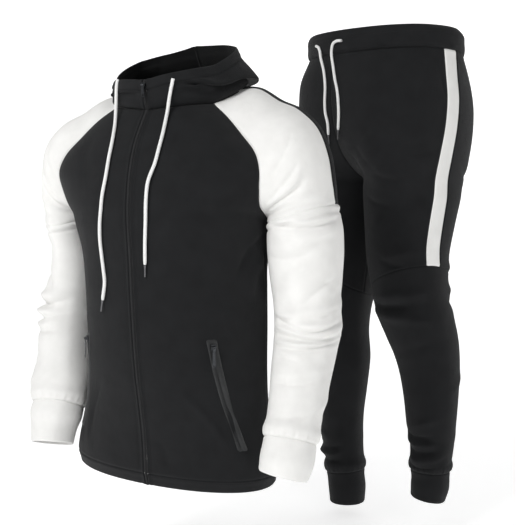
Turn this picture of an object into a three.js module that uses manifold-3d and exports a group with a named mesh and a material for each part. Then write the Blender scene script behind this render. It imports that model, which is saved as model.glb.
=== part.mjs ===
// Tracksuit: a zip hooded jacket and joggers, filled out as they are worn, with no wearer.
// Millimetres, +Z up. The jacket's front faces -Y and the wearer's left is +X.
// The origin is the middle of the jacket's neck. The joggers hang behind, to the wearer's left.
// Every cut panel is one thin wall. Panels follow smooth surfaces lofted through the tables below.
import * as THREE from 'three';
import { mergeVertices } from 'three/addons/utils/BufferGeometryUtils.js';
import Module from 'manifold-3d';

// Cloth and seams
const CLOTH = 1.8;
const RIB = 2.2;
const SEAM_GAP = 0.3;
const INNER_RELIEF = 0.45;
const HALF_TURN = Math.PI;

// Colours, roughness and metalness
const FINISH = {
  blackCloth: { color: 0x17181b, roughness: 0.92, metalness: 0 },
  whiteCloth: { color: 0xeeeeec, roughness: 0.92, metalness: 0 },
  zipCoil: { color: 0x0d0e10, roughness: 0.5, metalness: 0 },
  darkMetal: { color: 0x2a2c30, roughness: 0.35, metalness: 0.9 },
  whiteCord: { color: 0xf4f4f2, roughness: 0.85, metalness: 0 },
  tipMetal: { color: 0x3a3b3e, roughness: 0.3, metalness: 1 },
};

const table = (columns, rows) => rows.map(
  (row) => Object.fromEntries(columns.map((column, i) => [column, row[i]])),
);

// Jacket body below the underarm: one row for each level, hem first. leftOut is how much further
// out the left side hangs than the right one.
const BODY_LEVELS = table(
  ['z', 'frontY', 'sideX', 'sideY', 'backY', 'leftOut'],
  [
    [-648, -97, 180, 4, 115, 0],
    [-627, -103, 185, 4, 118, 0],
    [-598, -105, 181, 4, 117, 2],
    [-560, -109, 169, 4, 110, 8],
    [-510, -118, 157, 4, 102, 15],
    [-455, -129, 151, 4, 99, 20],
    [-390, -137, 150, 5, 104, 21],
    [-325, -143, 151, 6, 113, 18],
    [-265, -147, 156, 8, 122, 10],
    [-210, -152, 172, 10, 128, 0],
  ],
);
const HEM_LEVELS = 1;
const BODY_CENTRE_Y = 8;
const HEM_TILT = 9;
const HEM_TILT_TOP = -380;

// Yoke, neck first: centre front, front raglan seam, crest of the shoulder, back raglan seam and
// centre back, for the wearer's left. The right side is its mirror image.
const YOKE_LEVELS = table(
  ['cfY', 'cfZ', 'fX', 'fY', 'fZ', 'crX', 'crY', 'crZ', 'bX', 'bY', 'bZ', 'cbY', 'cbZ',
    'frontBulge', 'backBulge'],
  [
    [-89, -33, 91, -30, -20, 105, 57, 15, 72, 86, 24, 98, 28, 11, 3],
    [-105, -55, 120, -42, -42, 143, 48, 10, 108, 93, -8, 110, -22, 16, 10],
    [-121, -78, 150, -52, -72, 185, 36, -13, 142, 97, -45, 120, -65, 20, 16],
    [-135, -105, 178, -61, -104, 225, 27, -31, 168, 93, -80, 127, -102, 26, 22],
    [-144, -133, 187, -66, -132, 258, 24, -62, 182, 85, -115, 131, -133, 30, 26],
    [-149, -160, 184, -60, -160, 276, 24, -105, 184, 72, -150, 132, -160, 33, 28],
    [-151.5, -185, 179, -45, -188, 284, 24, -150, 180, 48, -187, 130.5, -186, 38, 34],
  ],
);

// Sleeves below the armpit seam: centre of each ring, its half sizes, and how far its outer side
// stands above its centre
const ARM_COLUMNS = ['x', 'y', 'z', 'wide', 'deep', 'slant'];
const LEFT_ARM = table(ARM_COLUMNS, [
  [229, 17, -200, 57, 72, 10],
  [232, 18, -228, 62, 71, 6],
  [233, 20, -262, 63, 69, 3],
  [234, 20, -305, 60, 65, 0],
  [237, 17, -345, 56, 60, 0],
  [240, 13, -378, 56, 58, 0],
  [239, 2, -420, 53, 54, 0],
  [238, -14, -460, 50, 51, 0],
  [238, -32, -503, 46.5, 47.5, 0],
  [236, -56, -559, 42.5, 43.5, 0],
]);
const LEFT_CUFF = table(ARM_COLUMNS, [
  [235.5, -59, -570, 43.5, 44.5, 0],
  [234, -66, -590, 44, 45, 0],
  [230, -72, -613, 40, 41, 0],
]);
const RIGHT_ARM = table(ARM_COLUMNS, [
  [-214, 17, -206, 42, 70, 4],
  [-208, 26, -240, 41, 70, 2],
  [-208, 30, -270, 44, 68, 0],
  [-214, 30, -312, 46, 62, 0],
  [-222, 24, -350, 48, 57, 0],
  [-227, 18, -380, 49, 52, 0],
  [-225, 4, -422, 49, 52, 0],
  [-219, -10, -462, 49.5, 52, 0],
  [-212, -34, -512, 53, 50, 0],
  [-208, -48, -541, 45, 44, 0],
]);
const RIGHT_CUFF = table(ARM_COLUMNS, [
  [-209, -54, -556, 46, 45, 0],
  [-208, -63, -579, 40, 41, 0],
  [-206, -72, -605, 36, 38, 0],
]);
const RIGHT_CREST_INSET = 30;
const CREST_TURN = 12;
const STRIPE_WIDTH = 24;

// Hood, folded down: how far each ring stands out from the neck seam and above it, at five places
// round the neck from the front to the centre back
const HOOD_PLACES = [0, 50, 95, 140, 180];
const HOOD_RINGS = table(
  ['frontOut', 'frontUp', 'cheekOut', 'cheekUp', 'sideOut', 'sideUp', 'rearOut', 'rearUp',
    'backOut', 'backUp'],
  [
    [0, 0, 0, 0, 0, 0, 0, 0, 0, 0],
    [5, 12, 8, 11, 9, 8, 10, 4, 10, 2],
    [6, 22, 8, 20, 2, 17, 8, 6, 12, 3],
    [7, 30, 10, 26, 14, 18, 45, -4, 54, -9],
    [8, 37, 9, 35, 9, 31, 26, 12, 36, 10],
    [8, 43, 6, 44, 0, 45, -1, 34, 9, 34],
    [6, 48, 2, 52, -7, 58, -19, 61, -15, 65],
  ],
);
const NECK_CENTRE_Y = 12;
const HOOD_RIM_TILT = 8;

// Joggers, in their own frame: the front faces -Y, then the whole is turned and placed
const JOGGERS_PLACE = { x: 240, y: 470, z: 0 };
const JOGGERS_TURN = -30;
const WAIST_LEVELS = table(
  ['z', 'frontY', 'sideX', 'backY'],
  [
    [150, -146, 166, 112],
    [140, -148, 174, 128],
    [126, -147, 174, 131],
    [112, -146, 174, 131],
    [105, -143, 171, 129],
  ],
);
const HIP_LEVELS = table(
  ['fY', 'fZ', 'crX', 'crY', 'crZ', 'bY', 'bZ', 'frontBulge', 'backBulge'],
  [
    [-145, 62, 179, 4, 60, 144, 60, 60, 52],
    [-146, 14, 185, 3, 10, 152, 8, 62, 57],
    [-137, -38, 185, -2, -42, 148, -46, 65, 60],
    [-116, -86, 179, -8, -92, 126, -96, 69, 65],
    [-76, -124, 174, -14, -136, 80, -134, 82, 76],
  ],
);
const LEG_COLUMNS = ['x', 'y', 'z', 'wide', 'deep', 'slant'];
const LEFT_LEG = table(LEG_COLUMNS, [
  [89.5, -10, -168, 89, 104, -16],
  [91, -15, -200, 87, 98, -6],
  [93, -20, -235, 84, 92, 6],
  [95, -25, -290, 79, 84, 18],
  [97, -22, -337, 75, 78, 34],
]);
const LEFT_SHIN = table(LEG_COLUMNS, [
  [99, -14, -386, 72, 74, 20],
  [104, 2, -431, 69, 71, 8],
  [108, 17, -475, 65, 67, 0],
  [112, 23, -518, 60, 62, 0],
  [116, 24, -570, 54.5, 56, 0],
  [118, 24, -632, 49, 50, 0],
  [120, 24, -680, 43, 44, 0],
  [119, 21, -724, 39, 40, 0],
]);
const LEFT_ANKLE = table(LEG_COLUMNS, [
  [120, 21, -733, 38, 39, 0],
  [120, 20, -757, 38, 39, 0],
  [117, 17, -782, 34, 35, 0],
]);
const RIGHT_LEG = table(LEG_COLUMNS, [
  [-89.5, -10, -168, 89, 104, -16],
  [-91.5, -15, -200, 87, 98, -6],
  [-94, -20, -235, 84, 92, 6],
  [-98, -26, -290, 79, 84, 18],
  [-102, -28, -340, 74, 77, 34],
]);
const RIGHT_SHIN = table(LEG_COLUMNS, [
  [-105, -29, -400, 69, 71, 18],
  [-105, -25, -461, 63, 65, 6],
  [-101, -17, -524, 58, 59, 0],
  [-104, -16, -582, 53, 54, 0],
  [-106, -17, -645, 48, 49, 0],
  [-102, -16, -708, 44, 45, 0],
  [-95, -14, -766, 41, 42, 0],
]);
const RIGHT_ANKLE = table(LEG_COLUMNS, [
  [-94, -14, -776, 40, 41, 0],
  [-91, -13, -802, 40, 41, 0],
  [-90, -13, -836, 37, 38, 0],
]);
const SIDE_STRIPE_WIDTH = 33;
const LEG_CREST_TURN = -7;
const KNEE_SEAM_TURN = 35;
const WAIST_TILT = 6;
const WAIST_ARCH = 10;
const WAIST_ARCH_PLACE = -5;
const WAIST_DIP = 9;
const WAIST_DIP_PLACE = 75;
const WAIST_CENTRE_Y = 8;
const WAIST_DROP_END = -100;

// Smooth interpolation through unevenly spaced control points
function slopesAt(points, knots) {
  const last = points.length - 1;
  const spanSlope = (i) => points[i + 1].clone().sub(points[i])
    .divideScalar(knots[i + 1] - knots[i]);
  return points.map((_, i) => {
    if (i === 0) return spanSlope(0);
    if (i === last) return spanSlope(last - 1);
    const stepBefore = knots[i] - knots[i - 1];
    const stepAfter = knots[i + 1] - knots[i];
    return spanSlope(i - 1).multiplyScalar(stepAfter)
      .addScaledVector(spanSlope(i), stepBefore)
      .divideScalar(stepBefore + stepAfter);
  });
}

function hermite(a, b, slopeA, slopeB, step, f) {
  const f2 = f * f;
  const f3 = f2 * f;
  return a.clone().multiplyScalar(2 * f3 - 3 * f2 + 1)
    .addScaledVector(slopeA, (f3 - 2 * f2 + f) * step)
    .addScaledVector(b, 3 * f2 - 2 * f3)
    .addScaledVector(slopeB, (f3 - f2) * step);
}

function smoothCurve(points, knots) {
  const slopes = slopesAt(points, knots);
  const last = points.length - 1;
  return (s) => {
    let i = 0;
    while (i < last - 1 && s > knots[i + 1]) i += 1;
    const step = knots[i + 1] - knots[i];
    return hermite(points[i], points[i + 1], slopes[i], slopes[i + 1], step, (s - knots[i]) / step);
  };
}

// Smooth interpolation along one row. A row whose two ends meet is as smooth there as elsewhere.
const MEETING_REACH = 40;

function rowSlopes(points, closed) {
  const count = points.length;
  const middleSlope = (before, after) => after.clone().sub(before).divideScalar(2);
  const slopes = points.map(
    (_, i) => middleSlope(points[(i + count - 1) % count], points[(i + 1) % count]),
  );
  if (closed) return slopes;
  const apart = points[0].distanceTo(points[count - 1]) / MEETING_REACH;
  const meeting = 1 - THREE.MathUtils.clamp(apart, 0, 1);
  const together = middleSlope(points[count - 2], points[1]).multiplyScalar(meeting);
  const endSlope = (end, next, second) => end.clone().multiplyScalar(-1.5)
    .addScaledVector(next, 2)
    .addScaledVector(second, -0.5)
    .multiplyScalar(1 - meeting);
  slopes[0] = endSlope(points[0], points[1], points[2]).add(together);
  slopes[count - 1] = endSlope(points[count - 1], points[count - 2], points[count - 3])
    .negate()
    .add(together);
  return slopes;
}

function rowPoint(points, closed, t) {
  const slopes = rowSlopes(points, closed);
  const count = points.length;
  const turn = closed ? ((t % count) + count) % count : t;
  const i = closed ? Math.floor(turn) : THREE.MathUtils.clamp(Math.floor(turn), 0, count - 2);
  const next = (i + 1) % count;
  return hermite(points[i], points[next], slopes[i], slopes[next], 1, turn - i);
}

// A fold is a soft ridge or trough: its middle on the surface, its length, width, slant and height
const FOLD_COLUMNS = ['z', 'around', 'length', 'width', 'slant', 'height'];
const FOLD_FADE = 25;

function foldHeight(folds, z, around, girth) {
  let height = 0;
  for (const fold of folds) {
    let across = around - fold.around;
    if (girth) across -= girth * Math.round(across / girth);
    const up = z - fold.z;
    const angle = THREE.MathUtils.degToRad(fold.slant);
    const alongFold = across * Math.cos(angle) + up * Math.sin(angle);
    const offFold = up * Math.cos(angle) - across * Math.sin(angle);
    if (Math.abs(alongFold) < fold.length / 2) {
      const fade = Math.cos((HALF_TURN * alongFold) / fold.length) ** 2;
      height += fold.height * fade * Math.exp(-((offFold / fold.width) ** 2));
    }
  }
  return height;
}

// How far each row lies from the first, on average
function rowDistances(rows) {
  const distances = [0];
  for (let i = 1; i < rows.length; i += 1) {
    const gaps = rows[i].map((point, j) => point.distanceTo(rows[i - 1][j]));
    distances.push(distances[i - 1] + gaps.reduce((sum, gap) => sum + gap, 0) / gaps.length);
  }
  return distances;
}

// A surface lofted through rows of control points. Its place is given by the distance s down the
// rows and by the column number t. Folds move it along its normal.
class Loft {
  constructor(rows, { closed = false, folds = [], columnSize = 40, middle = 0, knots } = {}) {
    this.rows = rows;
    this.closed = closed;
    this.folds = folds;
    this.columnSize = columnSize;
    this.middle = middle;
    this.knots = knots ?? rowDistances(rows);
    this.length = this.knots.at(-1);
    this.columns = rows[0].map((_, j) => smoothCurve(rows.map((row) => row[j]), this.knots));
    this.outward = 1;
    this.outward = this.facesOut() ? 1 : -1;
  }

  // Whether the raw normal points away from the middle of its row
  facesOut() {
    const row = this.rows[Math.floor(this.rows.length / 2)];
    const centre = new THREE.Vector3();
    for (const point of row) centre.addScaledVector(point, 1 / row.length);
    const s = this.knots[Math.floor(this.rows.length / 2)];
    const t = Math.floor(row.length / 2);
    const place = (a, b) => this.base(a, b);
    return this.normalOf(place, s, t).dot(this.base(s, t).sub(centre)) > 0;
  }

  base(s, t) {
    return rowPoint(this.columns.map((column) => column(s)), this.closed, t);
  }

  normalOf(place, s, t) {
    const stepS = 0.5;
    const stepT = 0.5 / this.columnSize;
    const downRows = place(s + stepS, t).sub(place(s - stepS, t));
    const acrossRows = place(s, t + stepT).sub(place(s, t - stepT));
    return acrossRows.cross(downRows).normalize().multiplyScalar(this.outward);
  }

  // Folds fade out at the seams, so that the panels on both sides keep the same edge
  seamFade(s, t) {
    const toSeam = [s, this.length - s];
    if (!this.closed) {
      toSeam.push(t * this.columnSize, (this.columns.length - 1 - t) * this.columnSize);
    }
    return THREE.MathUtils.smoothstep(Math.min(...toSeam), 0, FOLD_FADE);
  }

  at(s, t) {
    const point = this.base(s, t);
    if (this.folds.length === 0) return point;
    const girth = this.closed ? this.columns.length * this.columnSize : 0;
    const around = (t - this.middle) * this.columnSize;
    const height = this.seamFade(s, t) * foldHeight(this.folds, point.z, around, girth);
    if (Math.abs(height) < 1e-3) return point;
    return point.addScaledVector(this.normalOf((a, b) => this.base(a, b), s, t), height);
  }

  normal(s, t) {
    return this.normalOf((a, b) => this.at(a, b), s, t);
  }

  // The column number that lies a given distance from another one, on the row at s
  columnAt(s, from, distance) {
    const size = this.base(s, from + 0.2).distanceTo(this.base(s, from - 0.2)) / 0.4;
    return from + distance / size;
  }
}

// A closed thin wall between an outer grid of points and the same grid moved inwards
function wallGeometry(outer, inner, closed) {
  const rows = outer.length;
  const columns = outer[0].length;
  const points = [];
  for (const grid of [outer, inner]) {
    for (const row of grid) {
      for (const point of row) points.push(point.x, point.y, point.z);
    }
  }
  const faces = [];
  const index = (layer, i, j) => layer * rows * columns + i * columns + (j % columns);
  const quad = (a, b, c, d) => faces.push(a, b, c, a, c, d);
  const spans = closed ? columns : columns - 1;
  for (let i = 0; i < rows - 1; i += 1) {
    for (let j = 0; j < spans; j += 1) {
      quad(index(0, i, j), index(0, i + 1, j), index(0, i + 1, j + 1), index(0, i, j + 1));
      quad(index(1, i, j), index(1, i, j + 1), index(1, i + 1, j + 1), index(1, i + 1, j));
    }
  }
  for (let j = 0; j < spans; j += 1) {
    quad(index(0, 0, j), index(0, 0, j + 1), index(1, 0, j + 1), index(1, 0, j));
    const end = rows - 1;
    quad(index(0, end, j), index(1, end, j), index(1, end, j + 1), index(0, end, j + 1));
  }
  if (!closed) {
    const side = columns - 1;
    for (let i = 0; i < rows - 1; i += 1) {
      quad(index(0, i, 0), index(1, i, 0), index(1, i + 1, 0), index(0, i + 1, 0));
      quad(index(0, i, side), index(0, i + 1, side), index(1, i + 1, side), index(1, i, side));
    }
  }
  return closedGeometry(points, faces);
}

function closedGeometry(points, faces) {
  let volume = 0;
  const corner = (i) => new THREE.Vector3(points[3 * i], points[3 * i + 1], points[3 * i + 2]);
  for (let k = 0; k < faces.length; k += 3) {
    volume += corner(faces[k]).dot(corner(faces[k + 1]).cross(corner(faces[k + 2])));
  }
  const outward = volume > 0 ? faces : faces.slice().reverse();
  const geometry = new THREE.BufferGeometry();
  geometry.setAttribute('position', new THREE.Float32BufferAttribute(points, 3));
  geometry.setIndex(outward);
  geometry.computeVertexNormals();
  return geometry;
}

const towards = (from, to, distance) => {
  const step = to.clone().sub(from);
  return from.clone().addScaledVector(step.normalize(), distance);
};

// Moves the open edges of a grid inwards along the cloth
function trimEdges(grid, closed, amount) {
  const rows = grid.length;
  const columns = grid[0].length;
  const trimmed = grid.map((row) => row.map((point) => point.clone()));
  for (let j = 0; j < columns; j += 1) {
    trimmed[0][j] = towards(grid[0][j], grid[1][j], amount);
    trimmed[rows - 1][j] = towards(grid[rows - 1][j], grid[rows - 2][j], amount);
  }
  if (!closed) {
    for (let i = 0; i < rows; i += 1) {
      const first = grid[i][1].clone().sub(grid[i][0]).normalize();
      const last = grid[i][columns - 2].clone().sub(grid[i][columns - 1]).normalize();
      trimmed[i][0].addScaledVector(first, amount);
      trimmed[i][columns - 1].addScaledVector(last, amount);
    }
  }
  return trimmed;
}

// A list of places from a start through stretches, each cut into its own number of equal steps
function steps(start, ...stretches) {
  const places = [start];
  for (const [end, count] of stretches) {
    const from = places.at(-1);
    for (let i = 1; i <= count; i += 1) places.push(from + ((end - from) * i) / count);
  }
  return places;
}

// A thin wall over a grid of places on lofts, with its outer side lifted off them
function wallOver(places, { wall = CLOTH, lift = 0, closed = false } = {}) {
  const outer = places.map((row) => row.map(
    ([loft, s, t]) => loft.at(s, t).addScaledVector(loft.normal(s, t), lift),
  ));
  const inside = places.map((row, i) => row.map(
    ([loft, s, t], j) => outer[i][j].clone().addScaledVector(loft.normal(s, t), -wall),
  ));
  return wallGeometry(
    trimEdges(outer, closed, SEAM_GAP / 2),
    trimEdges(inside, closed, SEAM_GAP / 2 + INNER_RELIEF),
    closed,
  );
}

// One cloth panel: rows are distances down a loft, columns gives the column places on a row
function panel(loft, rows, columns, options) {
  return wallOver(rows.map((s) => columns(s).map((t) => [loft, s, t])), options);
}

// A tube panel all round a closed loft. Its last column place is the first one again.
function tube(loft, rows, columns, options) {
  return panel(loft, rows, () => columns.slice(0, -1), { ...options, closed: true });
}

// Rows on the knots of a loft, each span cut into its own number of steps
const rowsOnKnots = (loft, first, counts) => steps(
  loft.knots[first],
  ...counts.map((count, i) => [loft.knots[first + i + 1], count]),
);

const LEFT = 1;
const RIGHT = -1;
const MIDDLE_COLUMN = 4;
const LAST_COLUMN = 8;
const vector = (x, y, z) => new THREE.Vector3(x, y, z);

// Rings round a limb, square to its axis. Column 0 is on the inner side, column 2 in front and
// column 4 on the outer side, a little behind the middle.
function limbRings(levels, side, crestTurn, slantTurn = 0) {
  return levels.map((level, i) => {
    const above = levels[Math.max(i - 1, 0)];
    const below = levels[Math.min(i + 1, levels.length - 1)];
    const axis = vector(below.x - above.x, below.y - above.y, below.z - above.z).normalize();
    const outDirection = vector(side, 0, 0);
    outDirection.addScaledVector(axis, -outDirection.dot(axis)).normalize();
    const backDirection = vector(0, 1, 0);
    backDirection.addScaledVector(axis, -backDirection.dot(axis));
    backDirection.addScaledVector(outDirection, -backDirection.dot(outDirection)).normalize();
    const ring = [];
    for (let j = 0; j <= LAST_COLUMN; j += 1) {
      const share = j / LAST_COLUMN;
      const turn = 2 * HALF_TURN * share + HALF_TURN;
      const angle = turn + THREE.MathUtils.degToRad(crestTurn) * Math.sin(HALF_TURN * share);
      const rise = level.slant * Math.cos(angle + THREE.MathUtils.degToRad(slantTurn));
      const point = vector(level.x, level.y, level.z + rise);
      point.addScaledVector(outDirection, level.wide * Math.cos(angle));
      point.addScaledVector(backDirection, level.deep * Math.sin(angle));
      ring.push(point);
    }
    return ring;
  });
}

const ARM_RINGS = {
  left: limbRings([...LEFT_ARM, ...LEFT_CUFF], LEFT, CREST_TURN),
  right: limbRings([...RIGHT_ARM, ...RIGHT_CUFF], RIGHT, CREST_TURN),
};

// Quarter arc from the middle of the body to its side, flattened a little towards a square
const BODY_SQUARE = 0.93;
const LEFT_OUT_CURVE = 8;

function bodyLevel(level, middleY) {
  const points = [];
  for (let j = -MIDDLE_COLUMN; j <= MIDDLE_COLUMN; j += 1) {
    const angle = (HALF_TURN / 2) * (Math.abs(j) / MIDDLE_COLUMN);
    const out = j > 0 ? level.leftOut * Math.sin(angle) ** LEFT_OUT_CURVE : 0;
    const x = Math.sign(j) * level.sideX * Math.sin(angle) ** BODY_SQUARE + out;
    const y = level.sideY + (middleY - level.sideY) * Math.cos(angle) ** BODY_SQUARE;
    const fade = THREE.MathUtils.smoothstep(-level.z, -HEM_TILT_TOP, -BODY_LEVELS[0].z);
    points.push(vector(x, y, level.z - (HEM_TILT * fade * x) / level.sideX));
  }
  return points;
}

// Body rows from the hem up. At the underarm they end on the inner points of the sleeves' rings.
function bodyRows(middle) {
  const rows = BODY_LEVELS.map((level) => bodyLevel(level, level[middle]));
  const underarm = rows.at(-1);
  underarm[0] = ARM_RINGS.right[0][0].clone();
  underarm[LAST_COLUMN] = ARM_RINGS.left[0][0].clone();
  return rows;
}

function yokeLevel(middleY, middleZ, seam) {
  const points = [];
  const endAngle = Math.acos((BODY_CENTRE_Y - seam.y) / (BODY_CENTRE_Y - middleY));
  for (let j = -MIDDLE_COLUMN; j <= MIDDLE_COLUMN; j += 1) {
    const share = Math.abs(j) / MIDDLE_COLUMN;
    const angle = endAngle * share;
    const x = (Math.sign(j) * seam.x * Math.sin(angle)) / Math.sin(endAngle);
    const y = BODY_CENTRE_Y - (BODY_CENTRE_Y - middleY) * Math.cos(angle);
    points.push(vector(x, y, middleZ + (seam.z - middleZ) * share));
  }
  return points;
}

const FRONT_FOLDS = table(FOLD_COLUMNS, [
  [-255, 205, 150, 16, -62, 4],
  [-300, 215, 170, 18, -50, -3.5],
  [-250, -205, 150, 16, 62, 4],
  [-420, -205, 120, 14, 20, 3],
  [-455, -210, 110, 12, 15, -3],
  [-150, 130, 150, 20, 52, -3],
]);
const BACK_FOLDS = table(FOLD_COLUMNS, [
  [-250, 190, 170, 18, -55, 4],
  [-260, -195, 160, 17, 58, 4],
  [-430, 40, 210, 16, 6, 4],
  [-470, -50, 190, 15, -8, 3.5],
]);

const frontLoft = new Loft([
  ...bodyRows('frontY'),
  ...YOKE_LEVELS.slice().reverse()
    .map((level) => yokeLevel(level.cfY, level.cfZ, vector(level.fX, level.fY, level.fZ))),
], { folds: FRONT_FOLDS, columnSize: 58, middle: MIDDLE_COLUMN });

const backLoft = new Loft([
  ...bodyRows('backY'),
  ...YOKE_LEVELS.slice().reverse()
    .map((level) => yokeLevel(level.cbY, level.cbZ, vector(level.bX, level.bY, level.bZ))),
], { folds: BACK_FOLDS, columnSize: 55, middle: MIDDLE_COLUMN, knots: frontLoft.knots });

const UNDERARM_ROW = BODY_LEVELS.length - 1;

// An open arc of nine points from one seam over a crest to another seam
function crestArc(front, crest, back, frontBulge, backBulge) {
  const chordMiddle = front.clone().add(back).multiplyScalar(0.5);
  const half = (start, end, bulge) => {
    const chord = end.clone().sub(start);
    const along = chord.clone().normalize();
    const out = start.clone().add(end).multiplyScalar(0.5).sub(chordMiddle);
    out.addScaledVector(along, -out.dot(along)).normalize();
    return [0, 0.25, 0.5, 0.75].map((share) => start.clone()
      .addScaledVector(chord, share)
      .addScaledVector(out, 4 * share * (1 - share) * bulge));
  };
  const frontHalf = half(front, crest, frontBulge);
  const backHalf = half(back, crest, backBulge).reverse();
  return [...frontHalf, crest.clone(), ...backHalf];
}

const withoutLast = (ring) => ring.slice(0, -1);
const LIMB_OPTIONS = { middle: MIDDLE_COLUMN, columnSize: 46 };

const LEFT_SLEEVE_FOLDS = table(FOLD_COLUMNS, [
  [-238, -70, 150, 9, 28, 3.5],
  [-262, -78, 150, 10, 40, -3],
  [-290, -90, 120, 11, 48, 2.5],
  [-352, -60, 210, 8, 6, 3.5],
  [-367, -70, 200, 6, 4, -4.5],
  [-381, -60, 210, 8, -3, 4],
  [-395, -70, 180, 7, -8, -4],
  [-430, -90, 120, 9, -25, 2.5],
  [-505, -20, 120, 8, 18, 2.5],
  [-525, 30, 110, 7, -14, -2.5],
  [-360, 110, 150, 9, 10, 3.5],
  [-385, 120, 150, 8, -8, -3.5],
]);
const RIGHT_SLEEVE_FOLDS = table(FOLD_COLUMNS, [
  [-245, -60, 140, 9, -30, 3],
  [-350, -40, 200, 8, -6, 3.5],
  [-364, -50, 190, 6, 4, -4.5],
  [-379, -50, 200, 8, 6, 4.5],
  [-393, -50, 160, 7, 12, -3.5],
  [-440, 20, 120, 9, -24, 2.5],
  [-505, -30, 120, 8, -16, 2.5],
  [-522, 20, 110, 7, 12, -2.5],
  [-365, 110, 150, 9, 8, 3.5],
]);

// The lofts of one sleeve: over the shoulder down to the armpit seam, and the tube below it. Its
// rows are spaced as on the body, so that both sides of the raglan seams have the same points.
function sleeveLofts(side, rings, cuffRow, folds, crestInset) {
  const shoulder = YOKE_LEVELS.map((level, i) => crestArc(
    vector(side * level.fX, level.fY, level.fZ),
    vector(
      side * (level.crX - (crestInset * i) / YOKE_LEVELS.length),
      level.crY,
      level.crZ - (crestInset / 4) * Math.sin((HALF_TURN * i) / YOKE_LEVELS.length),
    ),
    vector(side * level.bX, level.bY, level.bZ),
    level.frontBulge,
    level.backBulge,
  ));
  const upperRows = [...shoulder, rings[0], rings[1]];
  const ownDistances = rowDistances(upperRows);
  const bodyDistances = frontLoft.knots.slice(UNDERARM_ROW)
    .map((distance) => frontLoft.length - distance)
    .reverse();
  const lastSpan = ownDistances.at(-1) - ownDistances.at(-2);
  const knots = [...bodyDistances, bodyDistances.at(-1) + lastSpan];
  const upper = new Loft(upperRows, { ...LIMB_OPTIONS, knots });
  const tubeRings = rings.map(withoutLast);
  const tubeOptions = { ...LIMB_OPTIONS, closed: true };
  const lower = new Loft(tubeRings.slice(0, cuffRow + 1), { ...tubeOptions, folds });
  const wrist = new Loft(tubeRings.slice(cuffRow), tubeOptions);
  return { upper, lower, wrist, armpit: upper.knots[shoulder.length] };
}

const SLEEVES = {
  left: sleeveLofts(LEFT, ARM_RINGS.left, LEFT_ARM.length - 1, LEFT_SLEEVE_FOLDS, 0),
  right: sleeveLofts(
    RIGHT,
    ARM_RINGS.right,
    RIGHT_ARM.length - 1,
    RIGHT_SLEEVE_FOLDS,
    RIGHT_CREST_INSET,
  ),
};

// The hood's rings stand on the neck seam, which runs from the back over the right shoulder to
// the front and on over the left shoulder
function neckSeam() {
  const top = frontLoft.rows.at(-1);
  const back = backLoft.rows.at(-1);
  const halfRing = (side) => {
    const shoulder = SLEEVES[side === LEFT ? 'left' : 'right'].upper.rows[0];
    const frontPart = [4, 5, 6, 7].map((j) => top[side === LEFT ? j : LAST_COLUMN - j]);
    const backPart = [8, 7, 6, 5, 4].map((j) => back[side === LEFT ? j : LAST_COLUMN - j]);
    return [...frontPart, ...shoulder.slice(0, -1), ...backPart];
  };
  const right = halfRing(RIGHT).reverse();
  return [...right, ...halfRing(LEFT).slice(1)];
}

function hoodRing(seam, ring) {
  const knots = HOOD_PLACES;
  const outValues = [ring.frontOut, ring.cheekOut, ring.sideOut, ring.rearOut, ring.backOut];
  const upValues = [ring.frontUp, ring.cheekUp, ring.sideUp, ring.rearUp, ring.backUp];
  const shape = smoothCurve(outValues.map((out, i) => vector(out, upValues[i], 0)), knots);
  const rimShare = ring.frontUp / HOOD_RINGS.at(-1).frontUp;
  return seam.map((point) => {
    const outward = vector(point.x, point.y - NECK_CENTRE_Y, 0).normalize();
    const place = THREE.MathUtils.radToDeg(Math.acos(-outward.y));
    const { x: out, y: up } = shape(place);
    return point.clone()
      .addScaledVector(outward, out)
      .add(vector(0, 0, SEAM_GAP + up + HOOD_RIM_TILT * rimShare * outward.x));
  });
}

const seamRing = neckSeam();
const hoodLoft = new Loft(HOOD_RINGS.map((ring) => hoodRing(seamRing, ring)), { columnSize: 20 });
const HOOD_MIDDLE = (seamRing.length - 1) / 2;

// How far the waist stands above its level: it tilts down a little to the wearer's left, arches
// up at the left side and dips behind it, fading out down the hips
function waistRise(x, y, z) {
  const fade = THREE.MathUtils.smoothstep(z, WAIST_DROP_END, WAIST_LEVELS.at(-1).z);
  const angle = Math.atan2(y - WAIST_CENTRE_Y, x);
  const hump = (place) => Math.max(0, Math.cos(angle - THREE.MathUtils.degToRad(place))) ** 2;
  const rise = WAIST_ARCH * hump(WAIST_ARCH_PLACE) - WAIST_DIP * hump(WAIST_DIP_PLACE);
  return fade * (rise - (WAIST_TILT * x) / WAIST_LEVELS[0].sideX);
}

// Joggers
function waistLevel(level) {
  const ring = [];
  const count = 2 * LAST_COLUMN;
  for (let j = 0; j < count; j += 1) {
    const angle = (2 * HALF_TURN * j) / count;
    const depth = Math.cos(angle) > 0
      ? WAIST_CENTRE_Y - level.frontY
      : level.backY - WAIST_CENTRE_Y;
    const x = level.sideX * Math.sin(angle);
    const y = WAIST_CENTRE_Y - depth * Math.cos(angle);
    ring.push(vector(x, y, level.z + waistRise(x, y, level.z)));
  }
  return ring;
}
const waistLoft = new Loft(WAIST_LEVELS.map(waistLevel), { closed: true, columnSize: 60 });

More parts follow.
